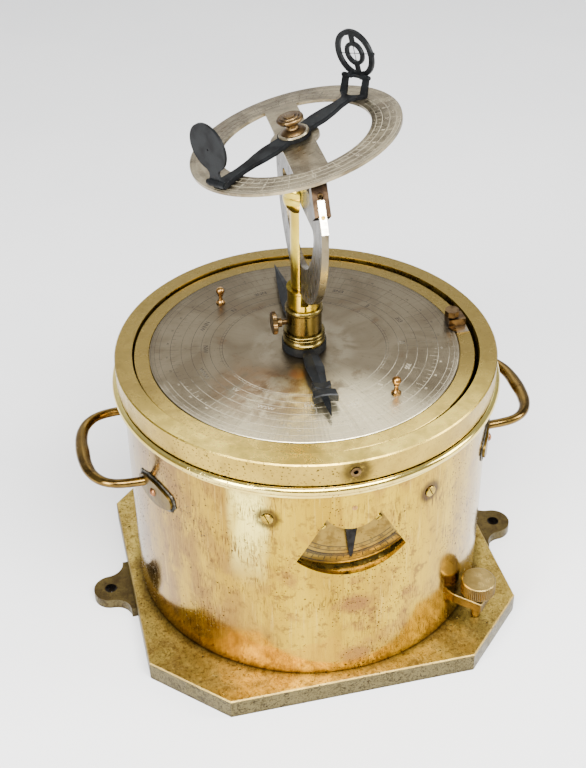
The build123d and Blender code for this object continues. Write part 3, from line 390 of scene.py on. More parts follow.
def base_brass():
    """Old casting: olive-brown top, scratched dull sides, near-black lugs and rubbed edges."""
    g = Graph("base_brass")
    x, y, z = g.split(g.place)
    radius, _, _ = g.polar()
    cloud = g.noise(75, 7, rough=0.65)
    mottle = g.noise(420, 5, rough=0.78, warp=0.6)
    colour = casting_sides(g, casting_top(g, cloud, mottle), x, y, cloud)
    gather = g.remap(g.noise(30, 3), 0.46, 0.56)
    pit = g.most(pits(g, 330, 0.20, gather), pits(g, 120, 0.12, gather))
    colour = g.mix(g.times(pit, 0.85), colour, (0.022, 0.012, 0.005))
    shade = g.times(g.remap(radius, 0.133, 0.126), g.remap(z, 0.0135, 0.0149))
    shade = g.most(g.times(shade, 0.6), g.crevice(0.004))
    colour = g.mix(g.times(shade, 0.9), colour, (0.030, 0.018, 0.006))
    across = g.remap(g.noise(1.0, 2, g.stretched(1500, 90, 90)), 0.70, 0.76)
    along = g.remap(g.noise(1.0, 2, g.stretched(110, 1700, 110)), 0.70, 0.76)
    rough = g.plus(g.remap(cloud, 0.35, 0.65, 0.36, 0.52), g.times(pit, 0.25))
    normal = g.bump(g.noise(900, 3), 0.00008, 0.55)
    normal = g.bump(cloud, 0.0005, 0.35, normal)
    normal = g.bump(mottle, 0.00018, 0.5, normal)
    normal = g.bump(g.most(across, along), -0.00009, 0.6, normal)
    normal = g.bump(pit, -0.00025, 0.8, normal)
    return g.finish(colour, rough, normal)


def turned_brass(name, bright, dull, stain_and_shade, rough_lo, rough_hi, centre_x=0.0, dirt=0.5, ring_depth=0.00003,
                 shade=0.0, lit_top=None, halo=None):
    """Lathe-turned brass: fine rings, cloudy toning and spots; its top can take a painted highlight, and
    painted shade away from the front.
    """
    g = Graph(name)
    radius, around, z = g.polar(centre_x)
    rings = g.noise(1.0, 3, g.join(g.times(radius, 2100), g.times(z, 2100), 0.0))
    broad = g.noise(21, 5, warp=0.9)
    cloud = g.noise(85, 6, rough=0.62)
    colour = g.mix(g.remap(broad, 0.34, 0.66), bright, dull)
    colour = g.mix(g.remap(cloud, 0.56, 0.72, 0, dirt), colour, stain_and_shade)
    fine = g.noise(330, 5, rough=0.75)
    colour = g.mix(g.remap(fine, 0.52, 0.66, 0, 0.40), colour, stain_and_shade)
    gather = g.remap(g.noise(19, 3), 0.46, 0.58)
    pit = g.most(pits(g, 420, 0.26, gather), pits(g, 170, 0.15, gather))
    if halo:
        stained = g.times(g.near(halo, 0.0055, 0.0135), g.remap(fine, 0.26, 0.48))
        pit = g.most(pit, stained)
    colour = g.mix(g.times(pit, 0.9), colour, (0.025, 0.014, 0.006))
    # painted shade and grime in slots and inside corners
    colour = g.mix(g.times(g.crevice(0.003), 0.85), colour, (0.028, 0.017, 0.007))
    tint = g.remap(rings, 0.35, 0.7, 0.0, 0.16)
    colour = g.mix(tint, colour, dull)
    # painted light: upward faces take a painted highlight colour, and tops turned away from the front are
    # painted into shade
    upright = g.split(g.facing)[2]
    top = g.remap(upright, 0.6, 0.9)
    away = g.remap(g.vector("DOT_PRODUCT", around, FRONT), 0.92, 0.25)
    colour = g.mix(g.times(top, g.remap(cloud, 0.7, 0.4, 0.5, 0.9)), colour, lit_top or bright)
    colour = g.mix(g.times(g.times(away, top), shade), colour, stain_and_shade)
    rough = g.remap(cloud, 0.35, 0.68, rough_lo, rough_hi)
    rough = g.plus(rough, g.times(pit, 0.3))
    normal = g.bump(rings, ring_depth, 0.6)
    normal = g.bump(pit, -0.0001, 0.5, normal)
    return g.finish(colour, rough, normal)


def polished_brass(name, bright, dull, rough_lo, rough_hi, toning=0.45):
    """Hand-polished rods and columns: lengthwise wipes, warm toning, and painted shade with grime in the
    hollows.
    """
    g = Graph(name)
    wipe = g.noise(1.0, 4, g.stretched(330, 330, 60))
    cloud = g.noise(60, 6, rough=0.6, warp=0.5)
    colour = g.mix(g.remap(cloud, 0.42, 0.68, 0, toning), bright, dull)
    spots = pits(g, 420, 0.16, g.remap(g.noise(45, 2), 0.54, 0.62))
    colour = g.mix(g.times(spots, 0.7), colour, (0.09, 0.05, 0.02))
    # painted shade and grime in slots and inside corners
    colour = g.mix(g.times(g.crevice(0.0025), 0.85), colour, tuple(c * 0.12 for c in dull))
    rough = g.remap(wipe, 0.35, 0.7, rough_lo, rough_hi)
    normal = g.bump(wipe, 0.00003, 0.5)
    normal = g.bump(g.noise(140, 2), 0.00035, 0.12, normal)
    return g.finish(colour, rough, normal)


# ---- silver, black, copper and the rest ------------------------------------------------------
def dial_silver():
    """Silvered dial: brushed, with a painted highlight at the front, brown and pink where the silver has worn
    through.
    """
    g = Graph("dial_silver")
    x, y, _ = g.split(g.place)
    radius, around, _ = g.polar(BOWL_X)
    streak = g.noise(1.0, 4, g.vector("MULTIPLY", around, (70, 70, 70)), rough=0.7)
    rings = g.noise(1.0, 2, g.join(g.times(radius, 2600), 0.0, 0.0))
    broad = g.noise(24, 6, warp=1.4)
    cloud = g.noise(70, 6, rough=0.62, warp=0.4)
    fine = g.noise(260, 5, rough=0.7)
    colour = g.mix(g.remap(broad, 0.36, 0.66), (0.165, 0.134, 0.084), (0.115, 0.090, 0.054))
    # painted highlight: the front of the dial painted pale cream, where the brushed silver catches the light
    clear = g.vector("DOT_PRODUCT", around, (-0.12, -0.993, 0.0))
    clear = g.times(g.remap(clear, 0.58, 0.97), g.remap(radius, 0.022, 0.075))
    colour = g.mix(g.times(clear, 0.88), colour, (0.92, 0.81, 0.52))
    spot = g.vector("DISTANCE", g.join(x, y, 0.0), (BOWL_X - 0.034, -0.046, 0.0))
    warm = g.times(g.remap(spot, 0.050, 0.012), g.remap(cloud, 0.36, 0.58))
    colour = g.mix(g.times(warm, 0.8), colour, (0.215, 0.125, 0.058))
    worn = g.remap(g.plus(g.times(cloud, 0.5), g.times(broad, 0.5)), 0.53, 0.62)
    inside = g.remap(radius, 0.085, 0.05)
    colour = g.mix(g.times(g.times(worn, inside), 0.65), colour, (0.110, 0.070, 0.036))
    pink = g.vector("DISTANCE", g.join(x, y, 0.0), (BOWL_X - 0.012, -0.030, 0.0))
    colour = g.mix(g.times(g.remap(pink, 0.008, 0.003), 0.7), colour, (0.36, 0.15, 0.06))
    rub = g.remap(g.unsigned(g.minus(radius, 0.027)), 0.012, 0.003)
    rub = g.times(rub, g.remap(cloud, 0.38, 0.56))
    colour = g.mix(g.times(rub, 0.45), colour, (0.27, 0.235, 0.16))
    colour = g.mix(g.remap(streak, 0.5, 0.75, 0, 0.30), colour, (0.070, 0.058, 0.040))
    colour = g.mix(g.remap(fine, 0.58, 0.70, 0, 0.5), colour, (0.060, 0.045, 0.028))
    rough = g.remap(streak, 0.3, 0.7, 0.28, 0.42)
    normal = g.bump(streak, 0.00009, 0.55)
    normal = g.bump(rings, 0.00002, 0.4, normal)
    normal = g.bump(cloud, 0.0004, 0.12, normal)
    return g.finish(colour, rough, normal, brushed=0.35)


def ring_silver(name, tone=(0.330, 0.275, 0.170), dark=(0.165, 0.132, 0.080), rough=(0.26, 0.40)):
    """Silvered ring or plate: cross brushing and grey-brown clouds."""
    g = Graph(name)
    brush = g.noise(1.0, 4, g.stretched(95, 620, 620))
    cross = g.noise(1.0, 4, g.stretched(640, 90, 300))
    broad = g.noise(40, 6, warp=0.9)
    cloud = g.noise(130, 6, rough=0.65)
    colour = g.mix(g.remap(broad, 0.38, 0.64), tone, dark)
    colour = g.mix(g.remap(cloud, 0.5, 0.7, 0, 0.45), colour, (0.17, 0.11, 0.055))
    colour = g.mix(g.remap(brush, 0.52, 0.74, 0, 0.45), colour, (0.46, 0.41, 0.30))
    colour = g.mix(g.remap(cross, 0.56, 0.74, 0, 0.35), colour, (0.12, 0.095, 0.06))
    level = g.remap(brush, 0.3, 0.7, *rough)
    normal = g.bump(brush, 0.00006, 0.5)
    normal = g.bump(cross, 0.00005, 0.4, normal)
    return g.finish(colour, level, normal)


def arc_metal():
    """Latitude arc: silvered on its two faces, bare tan brass on its rim."""
    g = Graph("arc_metal")
    brush = g.noise(1.0, 4, g.stretched(300, 300, 70))
    cloud = g.noise(65, 6, rough=0.62, warp=0.8)
    face = g.mix(g.remap(cloud, 0.40, 0.64), (0.052, 0.042, 0.027), (0.030, 0.023, 0.015))
    face = g.mix(g.remap(brush, 0.5, 0.72, 0, 0.15), face, (0.085, 0.070, 0.048))
    rim = g.mix(g.remap(cloud, 0.42, 0.62), (0.150, 0.122, 0.074), (0.085, 0.064, 0.035))
    across = g.unsigned(g.vector("DOT_PRODUCT", g.facing, tuple(ARC_X)))
    colour = g.mix(g.remap(across, 0.5, 0.8), rim, face)
    return g.finish(colour, g.remap(brush, 0.3, 0.7, 0.24, 0.36), g.bump(brush, 0.00002, 0.4))


def blackened(name, sheen):
    """Chemically blackened brass: slate sheen, fine tooth, brown where edges are rubbed."""
    g = Graph(name)
    cloud = g.noise(110, 6, rough=0.6)
    fine = g.noise(1300, 3)
    colour = g.mix(g.remap(cloud, 0.38, 0.66), (0.0062, 0.0068, 0.0072), (0.0026, 0.0026, 0.0028))
    rubbed = g.remap(g.noise(240, 4, rough=0.7), 0.62, 0.74, 0, 0.6)
    colour = g.mix(rubbed, colour, (0.035, 0.026, 0.016))
    rough = g.remap(cloud, 0.35, 0.65, 0.30, 0.46)
    normal = g.bump(fine, 0.00005, 0.5)
    normal = g.bump(cloud, 0.0003, 0.25, normal)
    return g.finish(colour, rough, normal, metallic=0.0, specular=sheen)


def plain_metal(name, bright, dull, rough_lo, rough_hi, scale=140, grit=0.00006):
    """Small turned or cast pieces: two tones of one metal with a fine tooth."""
    g = Graph(name)
    cloud = g.noise(scale, 6, rough=0.62, warp=0.4)
    fine = g.noise(1500, 3)
    colour = g.mix(g.remap(cloud, 0.40, 0.64), bright, dull)
    spots = g.remap(g.noise(420, 3), 0.62, 0.72, 0, 0.6)
    colour = g.mix(spots, colour, tuple(c * 0.35 for c in dull))
    # painted shade and grime in slots and inside corners
    colour = g.mix(g.times(g.crevice(0.0022, 0.92, 0.60), 0.95), colour, tuple(c * 0.08 for c in dull))
    normal = g.bump(fine, grit, 0.5)
    return g.finish(colour, g.remap(cloud, 0.35, 0.65, rough_lo, rough_hi), normal)


def engraving_fill(name, dark, light, low_y, high_y):
    """Wax and tarnish in engraved lines: dark at the back, light at the front by a painted highlight where
    the grooves catch the light.
    """
    g = Graph(name)
    _, y, _ = g.split(g.place)
    # painted highlight: the lines lighten towards the front, with noise on its edge
    worn = g.noise(55, 5, rough=0.65)
    along = g.plus(y, g.times(g.minus(worn, 0.5), 0.12))
    colour = g.mix(g.remap(along, low_y, high_y), light, dark)
    return g.finish(colour, 0.55, None, metallic=0.0, specular=0.25)


LOOKS = {
    "drum": drum_brass(),
    "base": base_brass(),
    # bezel, rim and clamp tops carry a painted highlight colour; bezel and rim tops take painted shade away
    # from the front
    "bezel": turned_brass("bezel_brass", (0.455, 0.312, 0.052), (0.350, 0.232, 0.036), (0.130, 0.083, 0.023),
                          0.24, 0.36, dirt=0.35, shade=0.82, lit_top=(0.96, 0.72, 0.150), halo=SWING_PIN),
    "rim": turned_brass("rim_brass", (0.46, 0.325, 0.078), (0.35, 0.240, 0.055), (0.130, 0.085, 0.024),
                        0.22, 0.34, BOWL_X, 0.35, shade=0.82, lit_top=(0.80, 0.58, 0.120)),
    "bead": turned_brass("bead_brass", (0.86, 0.70, 0.20), (0.64, 0.46, 0.10), (0.30, 0.18, 0.05), 0.08, 0.18,
                         dirt=0.35),
    "column": polished_brass("column_brass", (0.58, 0.43, 0.050), (0.27, 0.165, 0.020), 0.14, 0.24),
    "sleeve": polished_brass("sleeve_brass", (0.132, 0.095, 0.024), (0.066, 0.044, 0.011), 0.22, 0.34),
    "handle": polished_brass("handle_brass", (0.165, 0.100, 0.024), (0.055, 0.031, 0.009), 0.15, 0.28, 0.85),
    "foot": polished_brass("foot_brass", (0.135, 0.088, 0.019), (0.055, 0.032, 0.009), 0.30, 0.46, 0.85),
    "clamp": turned_brass("clamp_brass", (0.190, 0.125, 0.034), (0.110, 0.068, 0.020), (0.040, 0.022, 0.008),
                          0.24, 0.42, lit_top=(0.46, 0.330, 0.105)),
    "dial": dial_silver(),
    "ring": ring_silver("ring_silver"),
    "strip": ring_silver("strip_silver", (0.80, 0.76, 0.66), (0.66, 0.60, 0.48), (0.25, 0.36)),
    "plate": ring_silver("plate_silver", (0.24, 0.20, 0.14), (0.15, 0.12, 0.08)),
    "scale": plain_metal("scale_brass", (0.215, 0.138, 0.028), (0.140, 0.085, 0.017), 0.30, 0.44),
    "arc": arc_metal(),
    "black": blackened("blackened", 0.08),
    "bar": blackened("blackened_bar", 0.045),
    "hand": blackened("blackened_hand", 0.12),
    "copper": plain_metal("copper_tone", (0.42, 0.235, 0.070), (0.20, 0.095, 0.026), 0.16, 0.32),
    "knob": plain_metal("knob_brass", (0.155, 0.096, 0.038), (0.070, 0.040, 0.016), 0.27, 0.42),
    "rivet": plain_metal("rivet_copper", (0.34, 0.150, 0.060), (0.13, 0.050, 0.020), 0.22, 0.40),
    "bronze": plain_metal("dark_bronze", (0.030, 0.018, 0.009), (0.013, 0.008, 0.005), 0.28, 0.42),
    "steel": plain_metal("screw_metal", (0.40, 0.270, 0.032), (0.19, 0.115, 0.014), 0.20, 0.36),
    "dark": plain_metal("dark_steel", (0.016, 0.015, 0.014), (0.007, 0.006, 0.005), 0.30, 0.5),
    "iron": plain_metal("ballast_iron", (0.06, 0.055, 0.05), (0.03, 0.026, 0.023), 0.5, 0.7, 90),
    "solder": plain_metal("solder_grey", (0.125, 0.112, 0.085), (0.026, 0.023, 0.018), 0.36, 0.60, 260,
                          grit=0.0001),
}
DRESS = {
    "drum": ["drum_shell", "drum_floor", "drum_band", "drum_rivets"],
    "base": ["base_plate", "base_spigot"],
    "bezel": ["bezel_ring", "base_cap"],
    "rim": ["bowl_rim", "bowl_shell", "bowl_floor", "bowl_trunnions", "bowl_pillar", "dial_hub",
            "dial_post", "clinometer_case"],
    "bead": ["drum_collar"],
    "column": ["column_head", "tilt_pin"],
    "sleeve": ["column_foot", "column_sleeve"],
    "handle": ["handle_left", "handle_right"],
    "foot": ["handle_feet"],
    "clamp": ["clamp_bracket", "clamp_screw"],
    "dial": ["dial_plate"],
    "ring": ["hour_ring", "alidade_washer"],
    "strip": ["arc_index_strips"],
    "plate": ["dial_index_plate", "arc_stop_tab"],
    "scale": ["clinometer_scale"],
    "arc": ["latitude_arc"],
    "black": ["eye_vane", "eye_vane_pin", "object_vane", "object_vane_wires", "object_vane_pin"],
    "bar": ["alidade_bar"],
    "hand": ["bearing_hand"],
    "copper": ["dial_knobs", "clinometer_pivot"],
    "knob": ["dial_clamp_screw", "dial_clamp_foot", "column_clamp_screw", "alidade_knob", "alidade_nut",
             "arc_lean_screws", "swing_pins"],
    "rivet": ["handle_rivets"],
    "bronze": ["arc_forks", "hour_ring_lugs"],
    "steel": ["drum_screws", "base_cap_screws", "arc_index_screws", "clinometer_screws"],
    "dark": ["clinometer_pendulum"],
    "iron": ["bowl_weight"],
    "solder": ["handle_solder"],
}


def dress(node, material):
    """Give a CAD node one material."""
    mesh = NODES[node].data
    mesh.materials.clear()
    mesh.materials.append(material)
    for face in mesh.polygons:
        face.material_index = 0


for look, names in DRESS.items():
    for node in names:
        dress(node, LOOKS[look])


def mesh_object(name, bm, material, smooth=False):
    """Turn a bmesh into an object of one material."""
    mesh = bpy.data.meshes.new(name)
    bm.to_mesh(mesh)
    bm.free()
    mesh.materials.append(material)
    for face in mesh.polygons:
        face.use_smooth = smooth
    piece = bpy.data.objects.new(name, mesh)
    bpy.context.scene.collection.objects.link(piece)
    return piece


# ---- engraving: raised hairlines as closed prisms ----------------------------------------------
SINK, PROUD = -0.04 * MM, 0.025 * MM


def prism(bm, matrix, outline):
    """Closed prism from a flat outline in the matrix's XY plane."""
    low = [bm.verts.new(matrix @ Vector((x, y, SINK))) for x, y in outline]
    top = [bm.verts.new(matrix @ Vector((x, y, PROUD))) for x, y in outline]
    bm.faces.new(low[::-1])
    bm.faces.new(top)
    for i in range(len(outline)):
        j = (i + 1) % len(outline)
        bm.faces.new((low[i], low[j], top[j], top[i]))


def arc_line(bm, matrix, radius, width, start=0.0, end=tau, steps=360):
    """Engraved circle, or part of one."""
    whole = abs(end - start - tau) < 1e-6
    count = steps if whole else steps + 1
    rows = []
    for i in range(count):
        a = start + (end - start) * i / steps
        rows.append([bm.verts.new(matrix @ Vector((r * cos(a), r * sin(a), h)))
                     for r, h in ((radius - width / 2, SINK), (radius + width / 2, SINK),
                                  (radius + width / 2, PROUD), (radius - width / 2, PROUD))])
    for i in range(steps):
        a, b = rows[i], rows[(i + 1) % count]
        for k in range(4):
            bm.faces.new((a[k], a[(k + 1) % 4], b[(k + 1) % 4], b[k]))
    if not whole:
        bm.faces.new(rows[0][::-1])
        bm.faces.new(rows[-1])


def tick(bm, matrix, angle, r_in, r_out, width):
    """Engraved radial line."""
    turn = matrix @ Matrix.Rotation(angle, 4, "Z")
    half = width / 2
    prism(bm, turn, [(r_in, -half), (r_out, -half), (r_out, half), (r_in, half)])


def letters(bm, matrix, text, size, angle, radius, inward=True):
    """Engraved text centred at a radius, its top pointing out, or in."""
    curve = bpy.data.curves.new("letters", "FONT")
    curve.body = text
    curve.size = size
    curve.align_x = "CENTER"
    curve.align_y = "CENTER"
    curve.resolution_u = 2
    curve.extrude = (PROUD - SINK) / 2
    holder = bpy.data.objects.new("letters", curve)
    bpy.context.scene.collection.objects.link(holder)
    mesh = bpy.data.meshes.new_from_object(holder)
    turn = Matrix.Rotation(angle - pi / 2, 4, "Z") @ Matrix.Translation((0, radius, (PROUD + SINK) / 2))
    if inward:
        turn = turn @ Matrix.Rotation(pi, 4, "Z")
    mesh.transform(matrix @ turn)
    bm.from_mesh(mesh)
    bpy.data.objects.remove(holder)
    bpy.data.curves.remove(curve)
    bpy.data.meshes.remove(mesh)


def engraved(name, bm, body, material):
    """Finish an engraving mesh as a piece that rides on a body."""
    bmesh.ops.recalc_face_normals(bm, faces=bm.faces)
    piece = mesh_object(name, bm, material)
    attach(piece, body)


POINTS = ["N", "NNE", "NE", "ENE", "E", "ESE", "SE", "SSE", "S", "SSW", "SW", "WSW", "W", "WNW", "NW", "NNW"]
DIAL_NORTH = radians(-101 + 22.5 * 10)
HAIR = 0.18 * MM

# radii of the dial's scribed circles
DEGREE_R = DIAL_R - 0.9 * MM
FIGURE_R, POINT_RING_R = 92.6 * MM, 90.3 * MM
CARD_RINGS = [83.0 * MM, 76.3 * MM, 69.5 * MM, 63.7 * MM]
INNER_R, INNER_TICK_R = 55.3 * MM, 57.0 * MM


def length_by(i, *steps, short):
    """Length in mm of division i: the first step that it is a multiple of, or the short one."""
    for every, length in steps:
        if i % every == 0:
            return length
    return short


def quadrant(i):
    """Degrees at the i-th ten, counted up and down through each quarter."""
    degrees = (i * 10) % 90
    return degrees if (i // 9) % 2 == 0 else 90 - degrees


def engrave_card(bm):
    """Compass points, with the half-winds in smaller letters."""
    outer, upper, lower, _ = CARD_RINGS
    for i, text in enumerate(POINTS):
        a = DIAL_NORTH - tau * i / 16
        if i % 2:
            letters(bm, DIAL_FRAME, text, 4.6 * MM, a, 72.9 * MM)
        else:
            letters(bm, DIAL_FRAME, text, 5.0 * MM, a, 66.6 * MM)
            for off in (-0.055, 0.055):
                tick(bm, DIAL_FRAME, a + off, lower, upper, HAIR)
        tick(bm, DIAL_FRAME, a, upper, outer, 0.14 * MM)


def engrave_dial():
    """Compass dial: degree ring, numbers each ten degrees, compass points and scribed circles."""
    bm = bmesh.new()
    circles = [(DEGREE_R, 0.22), (DEGREE_R - 2.6 * MM, 0.15), (DEGREE_R - 6.0 * MM, 0.18)]
    circles.append((POINT_RING_R, 0.26))
    circles += list(zip(CARD_RINGS, (0.18, 0.24, 0.22, 0.24)))
    circles += [(INNER_R, 0.26), (INNER_TICK_R, 0.14)]
    for radius, width in circles:
        arc_line(bm, DIAL_FRAME, radius, width * MM)
    for i in range(720):
        length = length_by(i, (20, 6.0), (10, 4.2), (2, 2.6), short=1.4) * MM
        tick(bm, DIAL_FRAME, tau * i / 720, DEGREE_R - length, DEGREE_R, 0.11 * MM)
    for i in range(36):
        letters(bm, DIAL_FRAME, str(quadrant(i)), 2.2 * MM, DIAL_NORTH - tau * i / 36, FIGURE_R)
    for i in range(128):
        low = 87.6 * MM if i % 4 else 84.5 * MM
        tick(bm, DIAL_FRAME, DIAL_NORTH - tau * i / 128, low, POINT_RING_R, HAIR)
    engrave_card(bm)
    for i in range(96):
        high = INNER_TICK_R if i % 4 else 59.0 * MM
        tick(bm, DIAL_FRAME, DIAL_NORTH + tau * i / 96, INNER_R, high, HAIR)
    # the second colour is the painted highlight at the front of the lines
    fill = engraving_fill("dial_fill_and_highlight", (0.012, 0.010, 0.008), (0.34, 0.30, 0.21), -0.055, -0.005)
    engraved("dial_engraving", bm, "dial", fill)


RING_FACE = 1.0 * MM
HOUR_RINGS = [65.6 * MM, 63.1 * MM, 59.0 * MM, 54.4 * MM, 50.6 * MM]


def engrave_ring():
    """Hour ring: five scribed circles, hour and quarter divisions, numbers for the hours."""
    bm = bmesh.new()
    top = RING_FRAME @ Matrix.Translation((0, 0, RING_FACE))
    outer, quarter, hour, band, inner = HOUR_RINGS
    for radius, width in zip(HOUR_RINGS, (0.22, 0.18, 0.24, 0.26, 0.22)):
        arc_line(bm, top, radius, width * MM, steps=240)
    for i in range(288):
        low = hour if i % 12 == 0 else 61.4 * MM if i % 6 == 0 else quarter
        tick(bm, top, tau * i / 288, low, outer, 0.14 * MM)
    for i in range(72):
        tick(bm, top, tau * i / 72, inner if i % 3 else 49.2 * MM, band, HAIR)
    for i in range(24):
        letters(bm, top, str((i % 12) or 12), 3.3 * MM, pi / 2 - tau * i / 24, 56.7 * MM, inward=False)
    # the second colour is the painted highlight at the front of the lines
    fill = engraving_fill("ring_fill_and_highlight", (0.016, 0.013, 0.010), (0.33, 0.29, 0.20), -0.03, 0.03)
    engraved("ring_engraving", bm, "ring", fill)


ARC_HALF = 2.15 * MM
ARC_EDGE, ARC_SPAN = 71.6 * MM, radians(84)


def engrave_arc():
    """Latitude arc: degree ticks, numbers and three scribed lines on both faces, near the rim."""
    bm = bmesh.new()
    for side in (1, -1):
        face = ARC_FRAME @ Matrix.Rotation(side * pi / 2, 4, "Y") @ Matrix.Translation((0, 0, ARC_HALF))
        bottom = 0.0 if side > 0 else pi
        for radius, width in ((ARC_EDGE, 0.18), (68.2 * MM, 0.18), (62.0 * MM, 0.20)):
            arc_line(bm, face, radius, width * MM, bottom - ARC_SPAN, bottom + ARC_SPAN, 120)
        for i in range(-82, 83):
            length = length_by(i, (10, 6.2), (5, 4.8), short=3.4) * MM
            tick(bm, face, bottom + radians(i), ARC_EDGE - length, ARC_EDGE, 0.10 * MM)
        for i in range(-8, 9):
            turn = bottom + radians(i * 10)
            letters(bm, face, str(90 - abs(i) * 10), 3.0 * MM, turn, 64.0 * MM, inward=False)
    # the second colour is the painted highlight at the front of the lines
    fill = engraving_fill("arc_fill_and_highlight", (0.045, 0.038, 0.028), (0.075, 0.062, 0.045), -0.05, 0.05)
    engraved("arc_engraving", bm, "arc", fill)


SCALE_R, SCALE_SPAN = 46.1 * MM, radians(42)


def engrave_scale():
    """Clinometer scale: four arcs, a degree band and numbers about the pendulum's pivot."""
    bm = bmesh.new()
    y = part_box("clinometer_scale")[0].y
    face = placed(Vector((0, y, CLINO_Z)), Vector((1, 0, 0)), Vector((0, -1, 0)))
    down = -pi / 2
    for radius, width in ((40.3 * MM, 0.50), (43.4 * MM, 0.45), (SCALE_R, 0.60), (52.6 * MM, 0.6)):
        arc_line(bm, face, radius, width * MM, down - SCALE_SPAN, down + SCALE_SPAN, 90)
    for i in range(-40, 41):
        length = length_by(i, (10, 5.4), (5, 3.8), short=2.4) * MM
        tick(bm, face, down + radians(i), SCALE_R, SCALE_R + length, 0.56 * MM)
    for i in range(-3, 4):
        letters(bm, face, str(abs(i) * 10), 2.6 * MM, down + radians(i * 10), 41.9 * MM)
    fill = engraving_fill("scale_fill", (0.006, 0.005, 0.004), (0.006, 0.005, 0.004), -0.2, 0.2)
    engraved("scale_engraving", bm, "drum", fill)


engrave_dial()
engrave_ring()
engrave_arc()
engrave_scale()


# ---- solder round the handle feet ---------------------------------------------------------------
FOOT_SIDE, FOOT_SAG, FOOT_ROUND = 36.5, 27.5, 6.0      # long arcs: radius and centre; tips: radius
FOOT_ANGLE = 23.7
FOOT_EDGE = 0.7                                        # the bead's mid line, out from the foot
BEAD_H, BEAD_W, BEAD_RISE = 0.62 * MM, 1.7 * MM, 0.15 * MM
BEAD_SIDES = 8


def foot_outline(offset, steps=24):
    """Outline of a lozenge foot pushed outward, as (along, up, normal along, normal up) in mm."""
    reach = FOOT_SIDE - FOOT_ROUND
    tip = (reach ** 2 - FOOT_SAG ** 2) ** 0.5
    turn = pi / 2 - asin(tip / reach)
    parts = [((tip, 0), FOOT_ROUND, -turn, turn), ((0, -FOOT_SAG), FOOT_SIDE, turn, pi - turn),
             ((-tip, 0), FOOT_ROUND, pi - turn, pi + turn), ((0, FOOT_SAG), FOOT_SIDE, pi + turn, tau - turn)]
    outline = []
    for (cx, cy), radius, start, end in parts:
        for i in range(steps):
            a = start + (end - start) * i / steps
            outline.append((cx + (radius + offset) * cos(a), cy + (radius + offset) * sin(a), cos(a), sin(a)))
    return outline


def solder_beads():
    """Uneven fillet of solder round each lozenge foot, in place of the even CAD band."""
    rng = random.Random(7)
    bm = bmesh.new()
    spots = [side + sgn * FOOT_ANGLE for side in (0, 180) for sgn in (-1, 1)]
    z_mid = (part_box("handle_feet")[0].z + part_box("handle_feet")[1].z) / 2
    for spot in spots:
        outline = foot_outline(FOOT_EDGE)
        count = len(outline)
        wob = [rng.uniform(0.45, 1.75) for _ in outline]
        for _ in range(2):
            wob = [(wob[i - 1] + wob[i] * 2 + wob[(i + 1) % count]) / 4 for i in range(count)]
        rows = []
        for i, (u, v, n_u, n_v) in enumerate(outline):
            a = radians(spot) + u * MM / DRUM_R
            out = Vector((cos(a), sin(a), 0))
            side = Vector((-sin(a), cos(a), 0)) * n_u + Vector((0, 0, 1)) * n_v
            centre = out * (DRUM_R + BEAD_RISE) + Vector((0, 0, z_mid + v * MM))
            row = []
            for k in range(BEAD_SIDES):
                b = tau * k / BEAD_SIDES
                row.append(bm.verts.new(centre + out * (BEAD_H * wob[i] * sin(b))
                                        + side * (BEAD_W * wob[i] * cos(b))))
            rows.append(row)
        for i in range(count):
            a, b = rows[i], rows[(i + 1) % count]
            for k in range(BEAD_SIDES):
                bm.faces.new((a[k], a[(k + 1) % BEAD_SIDES], b[(k + 1) % BEAD_SIDES], b[k]))
    bmesh.ops.recalc_face_normals(bm, faces=bm.faces)
    piece = mesh_object("solder_beads", bm, LOOKS["solder"], smooth=True)
    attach(piece, "drum")
    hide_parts("handle_solder")


solder_beads()


# ---- floor, light and camera -----------------------------------------------------------------------
def floor():
    """Wide pale floor that curls up far behind the object."""
    bm = bmesh.new()
    half, rise, curl, back = 4.0, 2.2, 1.2, 1.9
    profile = [(-half, 0.0), (back, 0.0)]
    profile += [(back + curl * sin(t * pi / 24), curl * (1 - cos(t * pi / 24))) for t in range(1, 13)]
    profile.append((back + curl, curl + rise))
    rows = [[bm.verts.new((x, y, z)) for x in (-half, half)] for y, z in profile]
    for a, b in zip(rows, rows[1:]):
        bm.faces.new((a[0], a[1], b[1], b[0]))
    g = Graph("floor_paper")
    tone = g.mix(g.remap(g.noise(3, 4), 0.4, 0.6), (0.80, 0.80, 0.80), (0.775, 0.778, 0.782))
    grain = g.bump(g.noise(700, 2), 0.0001, 0.15)
    paper = g.finish(tone, 0.85, grain, metallic=0.0, specular=0.2)
    mesh_object("floor", bm, paper, smooth=True)


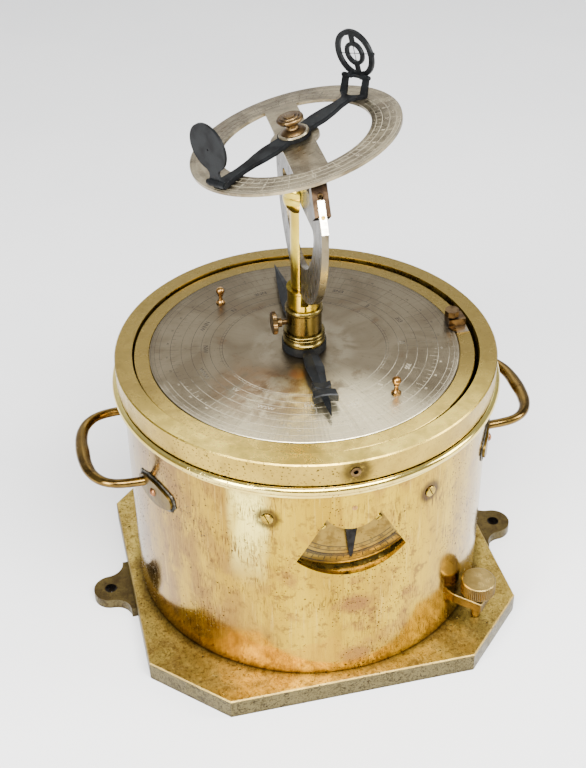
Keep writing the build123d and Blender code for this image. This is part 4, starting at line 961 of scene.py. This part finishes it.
def softbox(name, place, target, size, power):
    """Rectangular area light aimed at a point."""
    light = bpy.data.lights.new(name, "AREA")
    light.shape = "RECTANGLE"
    light.size, light.size_y = size
    light.energy = power
    lamp = bpy.data.objects.new(name, light)
    aim = Vector(target) - Vector(place)
    lamp.matrix_world = Matrix.Translation(place) @ aim.to_track_quat("-Z", "Y").to_matrix().to_4x4()
    bpy.context.scene.collection.objects.link(lamp)


def lights():
    """Soft studio light: pale world, large softbox overhead in front, one at each side, one behind."""
    world = bpy.data.worlds.new("studio")
    bpy.context.scene.world = world
    world.use_nodes = True
    world.node_tree.nodes["Background"].inputs["Color"].default_value = (0.97, 0.98, 1.0, 1)
    world.node_tree.nodes["Background"].inputs["Strength"].default_value = 0.55
    softbox("over", (0.05, -1.05, 1.42), (0, -0.22, 0.0), (1.5, 0.8), 112)
    softbox("left", (-1.45, -1.2, 1.0), (0, 0, 0.12), (0.75, 1.3), 90)
    softbox("right", (1.6, -0.5, 1.0), (0, 0, 0.15), (0.6, 1.0), 34)
    softbox("behind", (0.42, 1.55, 2.05), (0, 0, 0.20), (1.7, 1.0), 12)


def camera():
    """Camera fitted to the object's own circles, outline and corners; lengths in metres."""
    azimuth, elevation, roll = radians(-13.13), radians(36.24), radians(-0.8)
    distance, aside, target_z = 0.9207, -0.00887, 0.16799
    back = Vector((sin(azimuth) * cos(elevation), -cos(azimuth) * cos(elevation), sin(elevation)))
    right = Vector((cos(azimuth), sin(azimuth), 0))
    up = back.cross(right)
    side = right * cos(roll) + up * sin(roll)
    top = up * cos(roll) - right * sin(roll)
    lens = bpy.data.cameras.new("camera")
    lens.sensor_fit = "VERTICAL"
    lens.sensor_height = 36.0
    lens.lens = 62.6
    view = Matrix((side, top, back)).transposed().to_4x4()
    view.translation = right * aside + Vector((0, 0, target_z)) + back * distance
    cam = bpy.data.objects.new("camera", lens)
    cam.matrix_world = view
    bpy.context.scene.collection.objects.link(cam)
    bpy.context.scene.camera = cam


floor()
lights()
camera()
